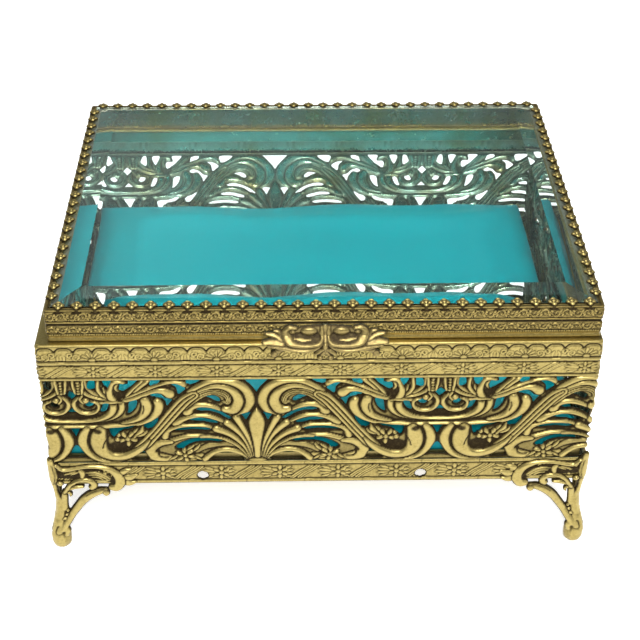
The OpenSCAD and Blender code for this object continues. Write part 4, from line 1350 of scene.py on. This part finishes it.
def pad_form(half, base, shoulder, crown):
    """A closed boxy pad in millimetres, with a slightly wavy rim: points, faces and which points stay put."""
    columns, rows, skirt = 36, 28, 1.0
    gx, gy = np.meshgrid(np.linspace(-1, 1, columns + 1), np.linspace(-1, 1, rows + 1))
    number = np.arange(gx.size).reshape(gx.shape)
    loop = np.concatenate([number[0, :-1], number[:-1, -1], number[-1, :0:-1], number[:0:-1, 0]])
    lx, ly = gx.reshape(-1)[loop] * half[0], gy.reshape(-1)[loop] * half[1]
    edge = np.minimum((1 - np.abs(gx)) * half[0], (1 - np.abs(gy)) * half[1])
    rng = np.random.default_rng(11)
    ripple = 0
    for _ in range(8):
        turn, pace, start = rng.uniform(0, 2 * math.pi), rng.uniform(0.03, 0.075), rng.uniform(0, 6.3)
        slant = gx * half[0] * math.cos(turn) + gy * half[1] * math.sin(turn)
        ripple = ripple + np.sin(pace * slant + start) / 8
    rim_wave = (0.55 * np.sin(0.10 * gx * half[0] + 0.6)
                + 0.4 * np.sin(0.05 * gx * half[0] + 0.08 * gy * half[1]))
    # A soft ridge runs round, a little way in from the rim
    ridge_in, ridge_high, ridge_wide = 21.0, 2.1, 5.0
    ridge = ridge_high * np.exp(-((edge - ridge_in - 3 * ripple) / ridge_wide) ** 2)
    z = base + shoulder + rim_wave + crown * (1 - np.exp(-edge / 9.0)) + 1.1 * ripple + ridge
    shrink = 1 - 1.3 / np.array(half)
    points = [np.stack([gx * half[0] * shrink[0], gy * half[1] * shrink[1], z], -1).reshape(-1, 3)]
    faces = cells(number).tolist()
    count, around, previous = gx.size, len(loop), loop
    wave = rim_wave.reshape(-1)[loop]
    # Down the shoulder and the side wall to the board
    for depth, height in ((0.4, shoulder - 0.7), (0.2, shoulder - 2.6), (0.9, 7.0), (0.9, 3.5), (skirt, 0.4)):
        pull = 1 - depth / np.array(half)
        lift = wave * ramp(height, 3.0, shoulder)
        points.append(np.stack([lx * pull[0], ly * pull[1], base + height + lift], -1))
        ring = count + np.arange(around)
        faces += np.stack([previous, ring, np.roll(ring, -1), np.roll(previous, -1)], -1).tolist()
        previous = ring
        count += around
    flat = np.stack([gx * (half[0] - 2), gy * (half[1] - 2), np.full(gx.shape, base)], -1).reshape(-1, 3)
    points.append(flat)
    under = number + count
    faces += cells(under)[:, [0, 3, 2, 1]].tolist()
    bottom = under.reshape(-1)[loop]
    faces += np.stack([previous, bottom, np.roll(bottom, -1), np.roll(previous, -1)], -1).tolist()
    points = np.vstack(points)
    return points, faces, points[:, 2] < base + 1.0


def inflate(points, faces, fixed, cap):
    """Blows a closed form up as cloth under pressure. No point moves further than the cap."""
    scene = bpy.context.scene
    mesh = bpy.data.meshes.new("cloth_form")
    mesh.from_pydata((points * MM).tolist(), [], faces)
    form = bpy.data.objects.new("cloth_form", mesh)
    scene.collection.objects.link(form)
    group = form.vertex_groups.new(name="fixed")
    group.add(np.flatnonzero(fixed).tolist(), 1.0, "REPLACE")
    cloth = form.modifiers.new("Cloth", "CLOTH")
    cloth.settings.quality = 6
    cloth.settings.mass = 0.15
    cloth.settings.use_pressure = True
    cloth.settings.uniform_pressure_force = 4
    cloth.settings.vertex_group_mass = "fixed"
    cloth.settings.effector_weights.gravity = 0
    for step in range(1, 21):
        scene.frame_set(step)
    ready = form.evaluated_get(bpy.context.evaluated_depsgraph_get())
    moved = np.empty(len(points) * 3)
    ready.data.vertices.foreach_get("co", moved)
    shift = moved.reshape(-1, 3) / MM - points
    bpy.data.objects.remove(form)
    bpy.data.meshes.remove(mesh)
    scene.frame_set(1)
    far = np.linalg.norm(shift, axis=1, keepdims=True)
    return points + shift * np.minimum(1, cap / np.maximum(far, 1e-9))


def subdivided(points, faces):
    """One Catmull-Clark step."""
    mesh = bpy.data.meshes.new("coarse")
    mesh.from_pydata(points.tolist(), [], faces)
    coarse = bpy.data.objects.new("coarse", mesh)
    bpy.context.scene.collection.objects.link(coarse)
    finer = coarse.modifiers.new("Subdivision", "SUBSURF")
    finer.levels = 1
    ready = coarse.evaluated_get(bpy.context.evaluated_depsgraph_get()).data
    points = np.array([v.co[:] for v in ready.vertices])
    faces = [list(loop.vertices) for loop in ready.polygons]
    bpy.data.objects.remove(coarse)
    bpy.data.meshes.remove(mesh)
    return points, faces


def build_cushion():
    """Satin over wadding: a boxy pad, blown up a little as cloth and clipped to the room it has."""
    low, high = span("cushion_pad")
    half = ((high[0] - low[0]) / 2 + 1.2, (high[1] - low[1]) / 2 + 1.2)
    base, swell = low[2] + 0.1, 2.2
    points, faces, fixed = pad_form(half, base, high[2] - base - 6.4, 1.9)
    points = inflate(points, faces, fixed, swell)
    points, faces = subdivided(points, faces)
    points[:, :2] = np.clip(points[:, :2], -np.array(half), half)
    points[:, 2] = np.clip(points[:, 2], base, high[2] + 0.5)
    cushion = add_piece("satin_cushion", points, faces, "casket", SATIN, ["cushion_pad"])


# ---------- setting ----------

def build_setting():
    """Pale floor, pale room and three soft lamps."""
    mesh = bpy.data.meshes.new("floor")
    size = 3.0
    mesh.from_pydata([(-size, -size, 0), (size, -size, 0), (size, size, 0), (-size, size, 0)], [],
                     [(0, 1, 2, 3)])
    floor = bpy.data.objects.new("floor", mesh)
    bpy.context.scene.collection.objects.link(floor)
    floor.location.z = -0.0002
    mat, tree = material("pale_floor")
    shader = node(tree, "ShaderNodeBsdfPrincipled", Base_Color=(0.85, 0.85, 0.85, 1), Roughness=0.9)
    shader.inputs["Emission Color"].default_value = (1, 1, 1, 1)
    shader.inputs["Emission Strength"].default_value = 0.6
    node(tree, "ShaderNodeOutputMaterial", Surface=shader.outputs[0])
    mesh.materials.append(mat)
    world = bpy.data.worlds.new("studio")
    bpy.context.scene.world = world
    world.use_nodes = True
    # The room is dim, with a soft pale patch behind on the left that hazes the glass
    tree = world.node_tree
    tree.nodes["Background"].inputs[0].default_value = (0.93, 0.98, 1.0, 1)
    aim = tree.nodes.new("ShaderNodeVectorMath")
    aim.operation = "DOT_PRODUCT"
    aim.inputs[1].default_value = Vector((-0.35, 0.85, 0.36)).normalized()
    tree.links.new(tree.nodes.new("ShaderNodeTexCoord").outputs["Generated"], aim.inputs[0])
    patch = node(tree, "ShaderNodeMapRange", Value=aim.outputs["Value"], From_Min=0.90, From_Max=1.0,
                 To_Min=0.2, To_Max=0.6)
    patch.interpolation_type = "SMOOTHSTEP"
    # Seen directly it is a pale backdrop
    path = tree.nodes.new("ShaderNodeLightPath")
    seen = maths(tree, "MAXIMUM", patch.outputs[0], maths(tree, "MULTIPLY", path.outputs["Is Camera Ray"],
                                                          0.9))
    tree.links.new(seen, tree.nodes["Background"].inputs[1])
    target = (0, 0, 0.05)
    for name, place, width, height, power in (
        ("key", (0.02, -0.78, 0.78), 0.35, 0.5, 11.5),
        ("fill", (0.8, -0.4, 0.55), 0.4, 0.7, 3.0),
        ("top", (0.0, -0.15, 1.1), 0.4, 0.5, 10.0),
    ):
        lamp = bpy.data.lights.new(name, "AREA")
        lamp.shape = "RECTANGLE"
        lamp.size, lamp.size_y = width, height
        lamp.energy = power
        holder = bpy.data.objects.new(name, lamp)
        bpy.context.scene.collection.objects.link(holder)
        holder.location = place
        holder.rotation_euler = (Vector(target) - Vector(place)).to_track_quat("-Z", "Y").to_euler()


def build_camera():
    """The camera stands in front, a little to the left, and looks down at the lid."""
    pitch, yaw, roll = math.radians(35.473), math.radians(1.7018), math.radians(0.4847)
    forward = Vector((math.sin(yaw) * math.cos(pitch), math.cos(yaw) * math.cos(pitch), -math.sin(pitch)))
    right = Vector((math.cos(yaw), -math.sin(yaw), 0))
    up = right.cross(forward)
    turned = right * math.cos(roll) + up * math.sin(roll)
    upright = up * math.cos(roll) - right * math.sin(roll)
    data = bpy.data.cameras.new("camera")
    data.lens = 78.13
    data.sensor_width = 36
    data.clip_start = 0.01
    camera = bpy.data.objects.new("camera", data)
    place = Vector((-0.010776, -0.430306, 0.351918))
    camera.matrix_world = Matrix((turned, upright, -forward)).transposed().to_4x4()
    camera.location = place
    bpy.context.scene.collection.objects.link(camera)
    bpy.context.scene.camera = camera
    bpy.context.scene.view_settings.view_transform = "Standard"


build_camera()
build_setting()
build_openwork()
build_rails()
build_collar()
build_feet()
build_lid_frame()
build_gallery()
build_tab()
build_cushion()
coat("glass_pane", GLASS)
coat("cushion_board", CARD)
for name in ("base_tray", "casket_leaf_left", "casket_leaf_right", "hinge_pin_left", "hinge_pin_right",
             "lid_leaf_left", "lid_leaf_right"):
    coat(name, PLAIN)
